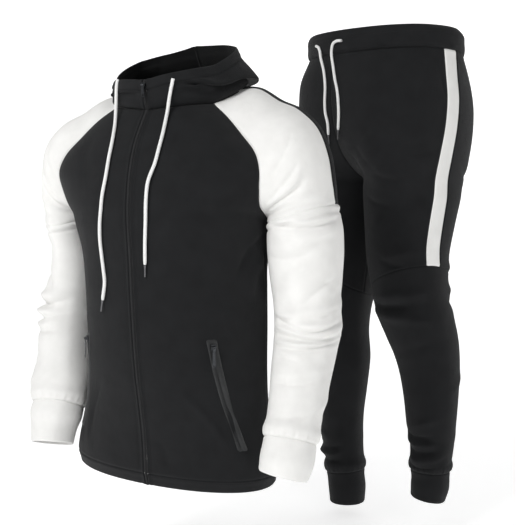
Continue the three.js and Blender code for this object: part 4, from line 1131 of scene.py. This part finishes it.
# The tip: how far beyond the cord's end, and how wide there
TIP_PROFILE = np.array([
    (0.3, 1.5), (0.6, 1.9), (1.2, 2.0), (2.4, 2.0), (3.6, 1.8), (4.8, 1.5), (8, 1.45), (12, 1.45),
    (16, 1.45), (18.6, 1.4), (19.6, 1.1), (20, 0.5),
])
CORD_STEP = 3
CORD_SIDES = 16
TIP_SIDES = 20
END_TAPER = 5
END_SIZE = 0.72


def add_cord(name, points, place=None):
    line = catmull_rom(points, CORD_STEP)
    direction = unit(line[-1] - line[-3])
    tip_line = line[-1] + direction * TIP_PROFILE[:, :1]
    if place:
        line, tip_line = place(line), place(tip_line)
    along = line_distances(line)
    sizes = END_SIZE + (1 - END_SIZE) * smoothstep(along[-1] - along, 0, END_TAPER)
    cord = tube_piece(f"{name}_cord_braided", line, CORD_RADIUS * sizes, CORD_SIDES, BRAID)
    dress(cord, "white_cord", f"{name}_cord")
    tip = tube_piece(f"{name}_tip_turned", tip_line, TIP_PROFILE[:, 1], TIP_SIDES, TIP_METAL)
    dress(tip, "cord_tip", f"{name}_tip")


add_cord("hood_left", HOOD_CORD_LEFT)
add_cord("hood_right", HOOD_CORD_RIGHT)
add_cord("waist_right", WAIST_CORD_RIGHT, to_world)
add_cord("waist_left", WAIST_CORD_LEFT, to_world)


# Folds: down, around, length, width, slant in degrees, height
FRONT_FOLDS = [
    (-255, 205, 150, 16, -62, 4), (-300, 215, 170, 18, -50, -3.5),
    (-250, -205, 150, 16, 62, 4), (-420, -205, 120, 14, 20, 3),
    (-455, -210, 110, 12, 15, -3), (-150, 130, 150, 20, 52, -3),
    (-330, 175, 130, 9, -48, -2.2), (-360, -190, 150, 11, 40, -2.4),
    (-520, 150, 170, 12, 74, 2.0), (-560, -120, 190, 13, -78, 1.8),
    (-600, 60, 120, 9, 84, -1.2), (-110, -110, 140, 16, -50, -2.4),
]
BACK_FOLDS = [
    (-250, 190, 170, 18, -55, 4), (-260, -195, 160, 17, 58, 4),
    (-430, 40, 210, 16, 6, 4), (-470, -50, 190, 15, -8, 3.5),
    (-450, -10, 180, 10, 3, -3), (-500, 90, 170, 11, -12, -2.4),
    (-330, 120, 160, 12, 62, -2), (-560, -90, 170, 11, 70, 1.8),
]
# Creases: height, width, and a path of (around, down)
LEFT_SLEEVE_CREASES = [
    (-5.5, 3.6, [(-165, -360), (-108, -379), (-75, -388), (-40, -381), (5, -370)]),
    (-5.5, 3.6, [(-165, -390), (-92, -398), (-55, -402), (0, -395)]),
    (-5, 3.6, [(-160, -410), (-92, -413), (-20, -407), (20, -400)]),
    (5, 5, [(-165, -375), (-92, -390), (-55, -394), (0, -383)]),
    (4.5, 4.5, [(-165, -400), (-92, -406), (-20, -402), (20, -395)]),
    (4.5, 9, [(-165, -345), (-108, -364), (-75, -372), (-40, -366), (10, -355)]),
    (-3, 5, [(-95, -352), (-56, -318), (-18, -298)]),
    (2.5, 8, [(-80, -356), (-40, -326), (-5, -310)]),
    (-2.4, 5, [(-62, -366), (-18, -348)]),
    (-2.4, 7, [(-150, -432), (-110, -428), (-70, -438)]),
    (-1.4, 3, [(-150, -466), (-90, -468), (-20, -460)]),
    (2, 10, [(-150, -450), (-90, -452), (-10, -442)]),
    (3.4, 5, [(-150, -205), (-100, -211), (-60, -209), (0, -196)]),
    (-4.5, 3.6, [(-150, -213), (-100, -221), (-60, -219), (-5, -204)]),
    (2.4, 8, [(-150, -226), (-100, -236), (-60, -233), (0, -220)]),
    (-1.6, 5, [(-160, -262), (-115, -272), (-60, -262)]),
    (-4, 4, [(40, -372), (90, -381), (150, -372)]),
    (4, 6, [(40, -384), (100, -392), (160, -384)]),
    (-4, 4, [(45, -396), (100, -404), (155, -396)]),
]
RIGHT_SLEEVE_CREASES = [
    (-5, 3.6, [(-150, -352), (-90, -364), (-30, -368), (30, -360), (90, -348)]),
    (4.5, 5.5, [(-150, -364), (-90, -376), (-30, -380), (30, -372), (90, -360)]),
    (-5, 3.6, [(-140, -378), (-80, -388), (-20, -392), (50, -384)]),
    (4, 5, [(-130, -392), (-70, -400), (-10, -402), (50, -395)]),
    (-3.5, 4, [(-120, -408), (-60, -414), (0, -412)]),
    (4, 9, [(-150, -338), (-90, -350), (-20, -354), (60, -342)]),
    (-2.6, 5, [(-100, -345), (-60, -315), (-20, -295)]),
    (-2.2, 5, [(-60, -232), (0, -246), (60, -240)]),
    (2.4, 8, [(-70, -244), (0, -260), (70, -252)]),
    (-1.6, 4, [(-90, -462), (-20, -472), (50, -462)]),
]
FRONT_CREASES = [
    (-4, 7, [(226, -222), (190, -262), (165, -310)]),
    (3.5, 10, [(236, -262), (205, -300), (185, -350)]),
    (-4, 7, [(-226, -222), (-190, -262), (-165, -310)]),
    (3.5, 10, [(-236, -262), (-205, -300), (-185, -350)]),
    (-3, 7, [(-236, -420), (-200, -446), (-160, -456)]),
    (2.4, 8, [(60, -480), (110, -540), (130, -600)]),
    (-2.4, 7, [(-70, -470), (-105, -530), (-110, -600)]),
    (-1.8, 5, [(20, -560), (30, -600), (26, -625)]),
]
SHOULDER_CREASES = [
    (-3.6, 4, [(-182, 198), (-140, 178), (-90, 156)]),
    (3, 5, [(-182, 203), (-136, 186), (-84, 166)]),
    (-4.2, 4, [(-186, 207), (-132, 193), (-70, 176)]),
    (3.4, 6, [(-182, 211), (-120, 203), (-56, 196)]),
    (-3.6, 4, [(-186, 216), (-110, 214), (-30, 222)]),
    (-2.2, 7, [(-170, 160), (-120, 136), (-80, 120)]),
    (-3, 5, [(180, 206), (130, 190), (80, 170)]),
    (2.6, 7, [(180, 196), (126, 176), (76, 156)]),
]
HOOD_CREASES = [
    (-7, 5, [(30, 56), (50, 46), (70, 34), (95, 24), (130, 18)]),
    (4, 7, [(34, 66), (60, 54), (85, 42), (125, 30)]),
    (-5, 6, [(30, 20), (50, 15), (70, 14), (90, 10)]),
    (3, 4, [(42, 27), (62, 24), (84, 18)]),
    (-4.5, 7, [(-45, 24), (-20, 20), (-5, 20)]),
    (-4, 6, [(-34, 66), (-60, 56), (-90, 42), (-130, 26)]),
    (2.5, 7, [(-40, 40), (-70, 34), (-110, 20)]),
]
LEG_CREASES = [
    (-1.6, 1.8, [(-42, 112), (-32, 85), (-20, 30), (-17, -12)]),
    (-2.6, 5, [(-116, -76), (-60, -92), (-4, -82)]),
    (-2.0, 5, [(-226, -84), (-200, -116), (-184, -144)]),
    (-1.6, 6, [(-212, -62), (-176, -104), (-150, -120)]),
    (2.8, 7, [(-160, -112), (-104, -126), (-50, -134)]),
    (-3, 6, [(-156, -126), (-104, -140), (-48, -150)]),
    (-3, 6, [(-150, -168), (-110, -186), (-70, -190)]),
    (-3, 7, [(40, -110), (90, -132), (140, -128)]),
    (3, 9, [(40, -300), (90, -318), (140, -312)]),
    (-2.4, 6, [(-120, -290), (-80, -306), (-30, -310)]),
]
LEFT_SHIN_CREASES = [
    (5.5, 12, [(30, -352), (80, -360), (130, -356)]),
    (-4.5, 5, [(30, -378), (80, -384), (130, -378)]),
    (-3.5, 5, [(-150, -372), (-100, -388), (-40, -384)]),
    (3, 8, [(-150, -388), (-100, -404), (-30, -400)]),
    (-4, 4, [(-150, -640), (-90, -652), (-20, -644)]),
    (4, 6, [(-150, -652), (-90, -666), (-10, -658)]),
    (-4, 4, [(-150, -672), (-90, -682), (-10, -674)]),
    (3.5, 6, [(-140, -690), (-80, -698), (0, -690)]),
    (-3, 4, [(-130, -706), (-70, -712), (0, -706)]),
    (-3.5, 5, [(40, -650), (90, -660), (140, -652)]),
]
RIGHT_SHIN_CREASES = [
    (-4, 5, [(-150, -396), (-90, -408), (-20, -400)]),
    (3.5, 8, [(-150, -412), (-90, -424), (-10, -416)]),
    (-4, 4, [(-150, -700), (-90, -712), (-20, -704)]),
    (4, 6, [(-150, -714), (-90, -726), (-10, -718)]),
    (-4, 4, [(-140, -734), (-80, -742), (0, -736)]),
    (-3.5, 5, [(40, -700), (90, -710), (140, -704)]),
]
LEFT_SLEEVE_FOLDS = [
    (-238, -70, 150, 9, 28, 3.5), (-262, -78, 150, 10, 40, -3), (-290, -90, 120, 11, 48, 2.5),
    (-352, -60, 210, 8, 6, 3.5), (-367, -70, 200, 6, 4, -4.5), (-381, -60, 210, 8, -3, 4),
    (-395, -70, 180, 7, -8, -4), (-430, -90, 120, 9, -25, 2.5), (-505, -20, 120, 8, 18, 2.5),
    (-525, 30, 110, 7, -14, -2.5), (-360, 110, 150, 9, 10, 3.5), (-385, 120, 150, 8, -8, -3.5),
    (-318, -30, 130, 7, -22, -1.8), (-410, -20, 120, 6, 14, 2.0), (-470, 60, 140, 8, 30, -1.8),
    (-515, -80, 100, 5, 6, -2.0), (-228, 40, 120, 8, -30, -1.6),
]
RIGHT_SLEEVE_FOLDS = [
    (-245, -60, 140, 9, -30, 3), (-350, -40, 200, 8, -6, 3.5), (-364, -50, 190, 6, 4, -4.5),
    (-379, -50, 200, 8, 6, 4.5), (-393, -50, 160, 7, 12, -3.5), (-440, 20, 120, 9, -24, 2.5),
    (-505, -30, 120, 8, -16, 2.5), (-522, 20, 110, 7, 12, -2.5), (-365, 110, 150, 9, 8, 3.5),
    (-320, -70, 120, 7, 22, -2.0), (-408, -10, 120, 6, -10, 1.8), (-460, -60, 130, 7, 24, -1.8),
]
LEG_FOLDS = [
    (-60, -185, 150, 9, 42, -2.6), (-95, -170, 140, 8, 30, 2.2), (-120, -160, 130, 7, 20, -2.2),
    (-90, 170, 150, 10, -36, -2.4), (-130, 150, 140, 9, -26, 2),
]
LEFT_LEG_FOLDS = LEG_FOLDS + [
    (-190, -60, 150, 12, 30, -3), (-230, -120, 130, 12, 40, 3),
    (-75, -75, 110, 8, -8, -2.5), (-280, -60, 130, 10, 12, 2),
]
RIGHT_LEG_FOLDS = LEG_FOLDS + [(-200, -60, 150, 12, 30, -3), (-235, -120, 130, 12, 40, 3)]
LEFT_SHIN_FOLDS = [
    (-365, -70, 190, 10, 10, 4), (-385, -80, 190, 8, 6, -4), (-410, -70, 180, 10, -4, 3.5),
    (-620, -60, 150, 9, 16, 3), (-655, -50, 150, 8, -10, -3), (-690, -50, 150, 8, 8, 3.5),
    (-400, 110, 160, 10, 0, 3.5), (-660, 90, 150, 9, -12, 3), (-470, -60, 130, 8, 20, -2),
    (-540, 40, 140, 9, 30, 1.8), (-705, 30, 110, 5, 6, -2.2),
]
RIGHT_SHIN_FOLDS = [
    (-375, -80, 190, 10, -8, 4), (-397, -80, 180, 8, 4, -4), (-680, -60, 150, 9, 14, 3),
    (-720, -60, 150, 9, -10, 3.5), (-700, 80, 150, 9, 8, 3), (-740, 0, 120, 6, -6, -2.5),
    (-560, -40, 150, 9, -20, 1.8),
]


# Places on the cloth
ZIP_WIDTH = 6
ZIP_EDGE = ZIP_WIDTH / 2 + SEAM_GAP / 2
HEM_SEAM = FRONT.knots[1]
HOOD_CASING = 19
HOOD_CASING_HEIGHT = 1.3
HOOD_CASING_STEP = 4
HOOD_CASING_GROOVE = (0.9, 1.3)
BUNCHED = {"balloon": 4, "depth": 0.55}
PUCKERED = {"balloon": 0.6, "depth": 0.5}
SIDES = (("left", 1), ("right", -1))

# Stitch lines: distance from the edge
ZIP_STITCHES = 7.0
HEM_STITCHES = 3.0
WAIST_STITCHES = 4.0
WAIST_CASING = 17.0
POCKET_STITCHES = 2.0
stitch_lines = []


def beside(loft, column, distance):
    return lambda s: loft.column_at(s, column, distance)


def fixed(column):
    return lambda s: np.full(len(s), float(column))


def inner_first(side, inner, outer):
    """A pair from left to right, on the wearer's left (1) or right (-1) side."""
    return (inner, outer) if side > 0 else (outer, inner)


def add_hem(name, node, loft, left, right, edges):
    hem = Panel(loft, 0, HEM_SEAM, left, right)
    shell(name, node, hem, RIB, BLACK, {**edges, "end": "seam", "start": "open"}, BLACK_SHADED_INSIDE)
    stitch_lines.extend([hem.line("end", HEM_STITCHES), hem.line("start", HEM_STITCHES)])


def add_fronts():
    for name, side in SIDES:
        zip_edge = beside(FRONT, MIDDLE_COLUMN, side * ZIP_EDGE)
        left, right = inner_first(side, zip_edge, fixed(LAST_COLUMN if side > 0 else 0))
        zip_side, seam_side = inner_first(side, "left", "right")
        edges = {zip_side: "zip", seam_side: "seam"}
        front = Panel(FRONT, HEM_SEAM, FRONT.length, left, right, folds=FRONT_FOLDS,
                      creases=FRONT_CREASES, column_size=58)
        shell(f"front_{name}_cloth", f"jacket_front_{name}", front, CLOTH, BLACK,
              {**edges, "start": "seam", "end": "seam"}, BLACK_SHADED_INSIDE)
        stitch_lines.append(front.line(zip_side, ZIP_STITCHES))
        add_hem(f"hem_{name}_cloth", f"jacket_hem_{name}", FRONT, left, right, edges)


def add_back():
    left, right = fixed(0), fixed(LAST_COLUMN)
    back = Panel(BACK, HEM_SEAM, BACK.length, left, right, folds=BACK_FOLDS, column_size=55)
    shell("back_cloth", "jacket_back", back, CLOTH, BLACK, ALL_SEAMS, BLACK_SHADED_INSIDE)
    add_hem("hem_back_cloth", "jacket_hem_back", BACK, left, right,
            {"left": "seam", "right": "seam"})


def add_upper(limb, loft, end, stripe_width, colours, inside, **shape):
    """The upper part of a sleeve or leg: front, stripe and back."""
    cloth, stripe = colours
    stripe_front = beside(loft, MIDDLE_COLUMN, -stripe_width / 2)
    stripe_back = beside(loft, MIDDLE_COLUMN, stripe_width / 2)
    parts = {
        "front": (fixed(0), stripe_front, cloth),
        "stripe": (stripe_front, stripe_back, stripe),
        "back": (stripe_back, fixed(LAST_COLUMN), cloth),
    }
    for part, (left, right, material) in parts.items():
        panel = Panel(loft, 0, end, left, right, **shape)
        shell(f"{limb}_{part}_cloth", f"{limb}_{part}", panel, CLOTH, material, ALL_SEAMS, inside)


def add_lower(limb, lofts, material, inside, seam, cells, folds, creases, place=None):
    """The lower tube of a sleeve or leg, bunched into its cuff."""
    lower_cell, cuff_cell = cells
    lower = Panel(lofts["lower"], 0, lofts["lower"].length, cell=lower_cell, folds=folds,
                  creases=creases, place=place)
    gather(lower, "end", **BUNCHED)
    shell(f"{limb}_lower_cloth", f"{limb}_lower", lower, CLOTH, material,
          {"start": seam, "end": "seam"}, inside)
    cuff = Panel(lofts["cuff"], 0, lofts["cuff"].length, cell=cuff_cell, place=place)
    shell(f"{limb}_cuff_cloth", f"{limb}_cuff", cuff, RIB, material,
          {"start": "seam", "end": "open"}, inside)


def add_sleeve(name, folds, creases):
    lofts = SLEEVES[name]
    limb = f"sleeve_{name}"
    add_upper(limb, lofts["upper"], lofts["armpit"], STRIPE_WIDTH, (WHITE, BLACK), None,
              cell=3, creases=SHOULDER_CREASES, by_distance=True)
    add_lower(limb, lofts, WHITE, None, "rolled", (2.6, 2.6), folds, creases)


def add_leg(name, leg_folds, shin_folds, shin_creases):
    lofts = LEGS[name]
    limb = f"leg_{name}"
    add_upper(limb, lofts["upper"], lofts["upper"].length, SIDE_STRIPE_WIDTH, (BLACK, WHITE),
              BLACK_SHADED_INSIDE, folds=leg_folds, creases=LEG_CREASES, column_size=62, place=to_world)
    add_lower(limb, lofts, BLACK, BLACK_SHADED_INSIDE, "seam", (3, 4), shin_folds, shin_creases, to_world)


def add_hood():
    for name, side in SIDES:
        zip_edge = beside(HOOD, HOOD_MIDDLE, side * ZIP_EDGE)
        left, right = inner_first(side, zip_edge, fixed(HOOD.last if side > 0 else 0))
        zip_side, back_side = inner_first(side, "left", "right")
        hood = Panel(HOOD, 0, HOOD.length, left, right, cell=2.8, creases=HOOD_CREASES,
                     middle=HOOD_MIDDLE, column_size=20, by_distance=True)
        rim = hood.edge("end")
        casing = 1 - smoothstep(rim, HOOD_CASING - HOOD_CASING_STEP, HOOD_CASING)
        groove_depth, groove_width = HOOD_CASING_GROOVE
        groove = groove_depth * bell(rim, HOOD_CASING, groove_width)
        hood.raise_by(HOOD_CASING_HEIGHT * casing - groove)
        shell(f"hood_{name}_cloth", f"hood_{name}", hood, CLOTH, BLACK,
              {zip_side: "zip", back_side: "seam", "start": "seam", "end": "open"}, BLACK_SHADED_INSIDE)
        stitch_lines.append(hood.line("end", HOOD_CASING))
        stitch_lines.append(hood.line(zip_side, ZIP_STITCHES))


def add_waistband():
    waist = Panel(WAIST, 0, WAIST.length, cell=3, place=to_world)
    gather(waist, "end", **PUCKERED)
    shell("waistband_cloth", "waistband", waist, RIB, BLACK, {"start": "open", "end": "seam"},
          BLACK_SHADED_INSIDE)
    stitch_lines.extend([waist.line("end", WAIST_STITCHES), waist.line("start", WAIST_CASING)])


def surface_line(loft, s, t, lift):
    normal = loft.normal(s, t[:, None])[:, 0]
    return loft.at(s, t[:, None])[:, 0] + normal * lift, normal


ZIP_LINE_STEP = 3.0
HOOD_ZIP_START = 10.0
FRONT_TEETH = {"pitch": 1.7, "length": 3.4, "radius": 0.62, "sink": 0.2, "across": True}
FRONT_TEETH_LIFT = 0.4


def add_front_zip():
    lines = []
    for loft, middle, start in ((FRONT, MIDDLE_COLUMN, 0), (HOOD, HOOD_MIDDLE, HOOD_ZIP_START)):
        s = np.arange(start, loft.length, ZIP_LINE_STEP)
        lines.append(surface_line(loft, s, np.full(len(s), float(middle)), FRONT_TEETH_LIFT))
    stitches("front_zip_teeth", lines, COIL, "zip_coil", **FRONT_TEETH)


# Pocket zips: distances up the front, and columns from its middle
POCKET_BOTTOM, POCKET_TOP = 70, 252
POCKET_BOTTOM_COLUMN, POCKET_TOP_COLUMN = 2.64, 2.12
POCKET_WIDTH = 18
POCKET_LIFT = 0.6
POCKET_ENDS = 8
LIP_NARROWS = 0.35
# Ridges and the coil's channel across the pocket: height, distance from the inner edge, width
POCKET_LIP = (1.9, 13, 3.6)
POCKET_RIDGES = [(0.9, 2.2, 1.2), (-0.9, 6.2, 1.8)]
POCKET_COIL = 6.2
POCKET_TEETH = {"pitch": 1.5, "length": 3.2, "radius": 0.55, "sink": 0.1, "across": True}
POCKET_TEETH_LIFT = 0.3
TEETH_FROM_BOTTOM, TEETH_FROM_TOP = 6, 4


def pocket_edge(side, offset):
    """A line along the pocket, at a distance outward from its middle."""
    def column(s):
        share = np.clip((s - POCKET_BOTTOM) / (POCKET_TOP - POCKET_BOTTOM), 0, 1)
        away = POCKET_BOTTOM_COLUMN + (POCKET_TOP_COLUMN - POCKET_BOTTOM_COLUMN) * share
        return FRONT.column_at(s, MIDDLE_COLUMN + side * away, side * offset)
    return column


def add_pocket(name, side):
    inner, outer = pocket_edge(side, -POCKET_WIDTH / 2), pocket_edge(side, POCKET_WIDTH / 2)
    left, right = inner_first(side, inner, outer)
    welt = Panel(FRONT, POCKET_BOTTOM, POCKET_TOP, left, right, cell=1.6)
    across = welt.edge("left" if side > 0 else "right")
    share = welt.from_start / welt.from_start[-1:]
    ends = smoothstep(np.minimum(welt.from_start, welt.to_end), 0, POCKET_ENDS)
    lip_height, lip_place, lip_width = POCKET_LIP
    relief = lip_height * bell(across, lip_place, lip_width) * (1 - LIP_NARROWS * share)
    for height, place, width in POCKET_RIDGES:
        relief = relief + height * bell(across, place, width)
    welt.raise_by(POCKET_LIFT + ends * relief)
    shell(f"pocket_{name}_welt", f"pocket_zip_{name}", welt, LIP_WALL, LIP_PAINTED_HIGHLIGHT,
          {"left": "open", "right": "open", "start": "open", "end": "open"})
    s = np.arange(POCKET_BOTTOM + TEETH_FROM_BOTTOM, POCKET_TOP - TEETH_FROM_TOP, ZIP_LINE_STEP)
    middle = pocket_edge(side, POCKET_COIL - POCKET_WIDTH / 2)(s)
    line = surface_line(FRONT, s, middle, POCKET_TEETH_LIFT)
    stitches(f"pocket_{name}_teeth", [line], COIL, "zip_coil", **POCKET_TEETH)
    stitch_lines.append(welt.line("start", POCKET_STITCHES))
    stitch_lines.append(welt.line("end", POCKET_STITCHES))


add_fronts()
add_back()
add_sleeve("left", LEFT_SLEEVE_FOLDS, LEFT_SLEEVE_CREASES)
add_sleeve("right", RIGHT_SLEEVE_FOLDS, RIGHT_SLEEVE_CREASES)
add_hood()
add_waistband()
add_leg("left", LEFT_LEG_FOLDS, LEFT_SHIN_FOLDS, LEFT_SHIN_CREASES)
add_leg("right", RIGHT_LEG_FOLDS, RIGHT_SHIN_FOLDS, RIGHT_SHIN_CREASES)
add_front_zip()
for name, side in SIDES:
    add_pocket(name, side)
stitches("stitches_black", stitch_lines, BLACK_THREAD, "black_cloth")


# Metal parts and the front zip's tape keep their solids
for node in NODES:
    if node == "front_zip" or node.endswith(("_slider", "_pull")):
        NODES[node].data.materials.clear()
        NODES[node].data.materials.append(TAPE if node == "front_zip" else METAL)


# Floor, backdrop and soft light
FLOOR_Z = -860
PAPER_HALF_WIDTH = 7000
PAPER_FRONT, PAPER_BACK, PAPER_TOP = -6000, 3000, 4000
PAPER_CURVE = 1200
CURVE_STEPS = 12


def add_stage():
    """A sheet of paper that lies under the suit and curves up behind it."""
    profile = [(PAPER_FRONT, 0), (PAPER_BACK, 0)]
    for k in range(1, CURVE_STEPS + 1):
        angle = math.pi / 2 * k / CURVE_STEPS
        y, z = math.sin(angle), 1 - math.cos(angle)
        profile.append((PAPER_BACK + PAPER_CURVE * y, PAPER_CURVE * z))
    profile.append((PAPER_BACK + PAPER_CURVE, PAPER_TOP))
    sides = (-PAPER_HALF_WIDTH, PAPER_HALF_WIDTH)
    points = [(x, y, FLOOR_Z + z) for y, z in profile for x in sides]
    nodes = Nodes("studio_paper")
    two_tones(nodes, (0.88, 0.88, 0.88), (0.9, 0.9, 0.9), 3.0)
    nodes.set(Roughness=0.95, Emission_Color=(1, 1, 1, 1), Emission_Strength=0.62)
    faces = grid_faces(len(profile), 2, False, flip=True).tolist()
    mesh_object("studio_floor", points, faces, nodes.material)


def add_light(name, place, target, size, power):
    data = bpy.data.lights.new(name, "AREA")
    data.shape = "RECTANGLE"
    data.size, data.size_y = size
    data.energy = power
    light = bpy.data.objects.new(name, data)
    light.location = place
    direction = Vector(target) - Vector(place)
    light.rotation_euler = direction.to_track_quat("-Z", "Y").to_euler()
    bpy.context.scene.collection.objects.link(light)


def add_world():
    world = bpy.data.worlds.new("studio")
    world.use_nodes = True
    background = world.node_tree.nodes["Background"]
    background.inputs["Color"].default_value = (1, 1, 1, 1)
    background.inputs["Strength"].default_value = 0.24
    bpy.context.scene.world = world
    bpy.context.scene.view_settings.view_transform = "Standard"


add_stage()
add_light("key", (-0.6, -2.2, 1.45), (0.05, 0, -0.25), (1.0, 1.0), 53)
add_light("fill", (2.1, -1.7, 0.3), (0.1, 0, -0.3), (1.2, 1.8), 11)
add_world()


def declare_sheets():
    """Works out the area of each cloth piece's grid; the result is not kept."""
    for name, (piece, panel, width, length) in CUTS.items():
        a = panel.points[:-1, :-1]
        b = panel.points[1:, :-1]
        c = panel.points[:-1, 1:]
        area = np.linalg.norm(np.cross(b - a, c - a), axis=2).sum() * MM * MM
        if panel.closed:
            area *= panel.points.shape[1] / (panel.points.shape[1] - 1)


declare_sheets()
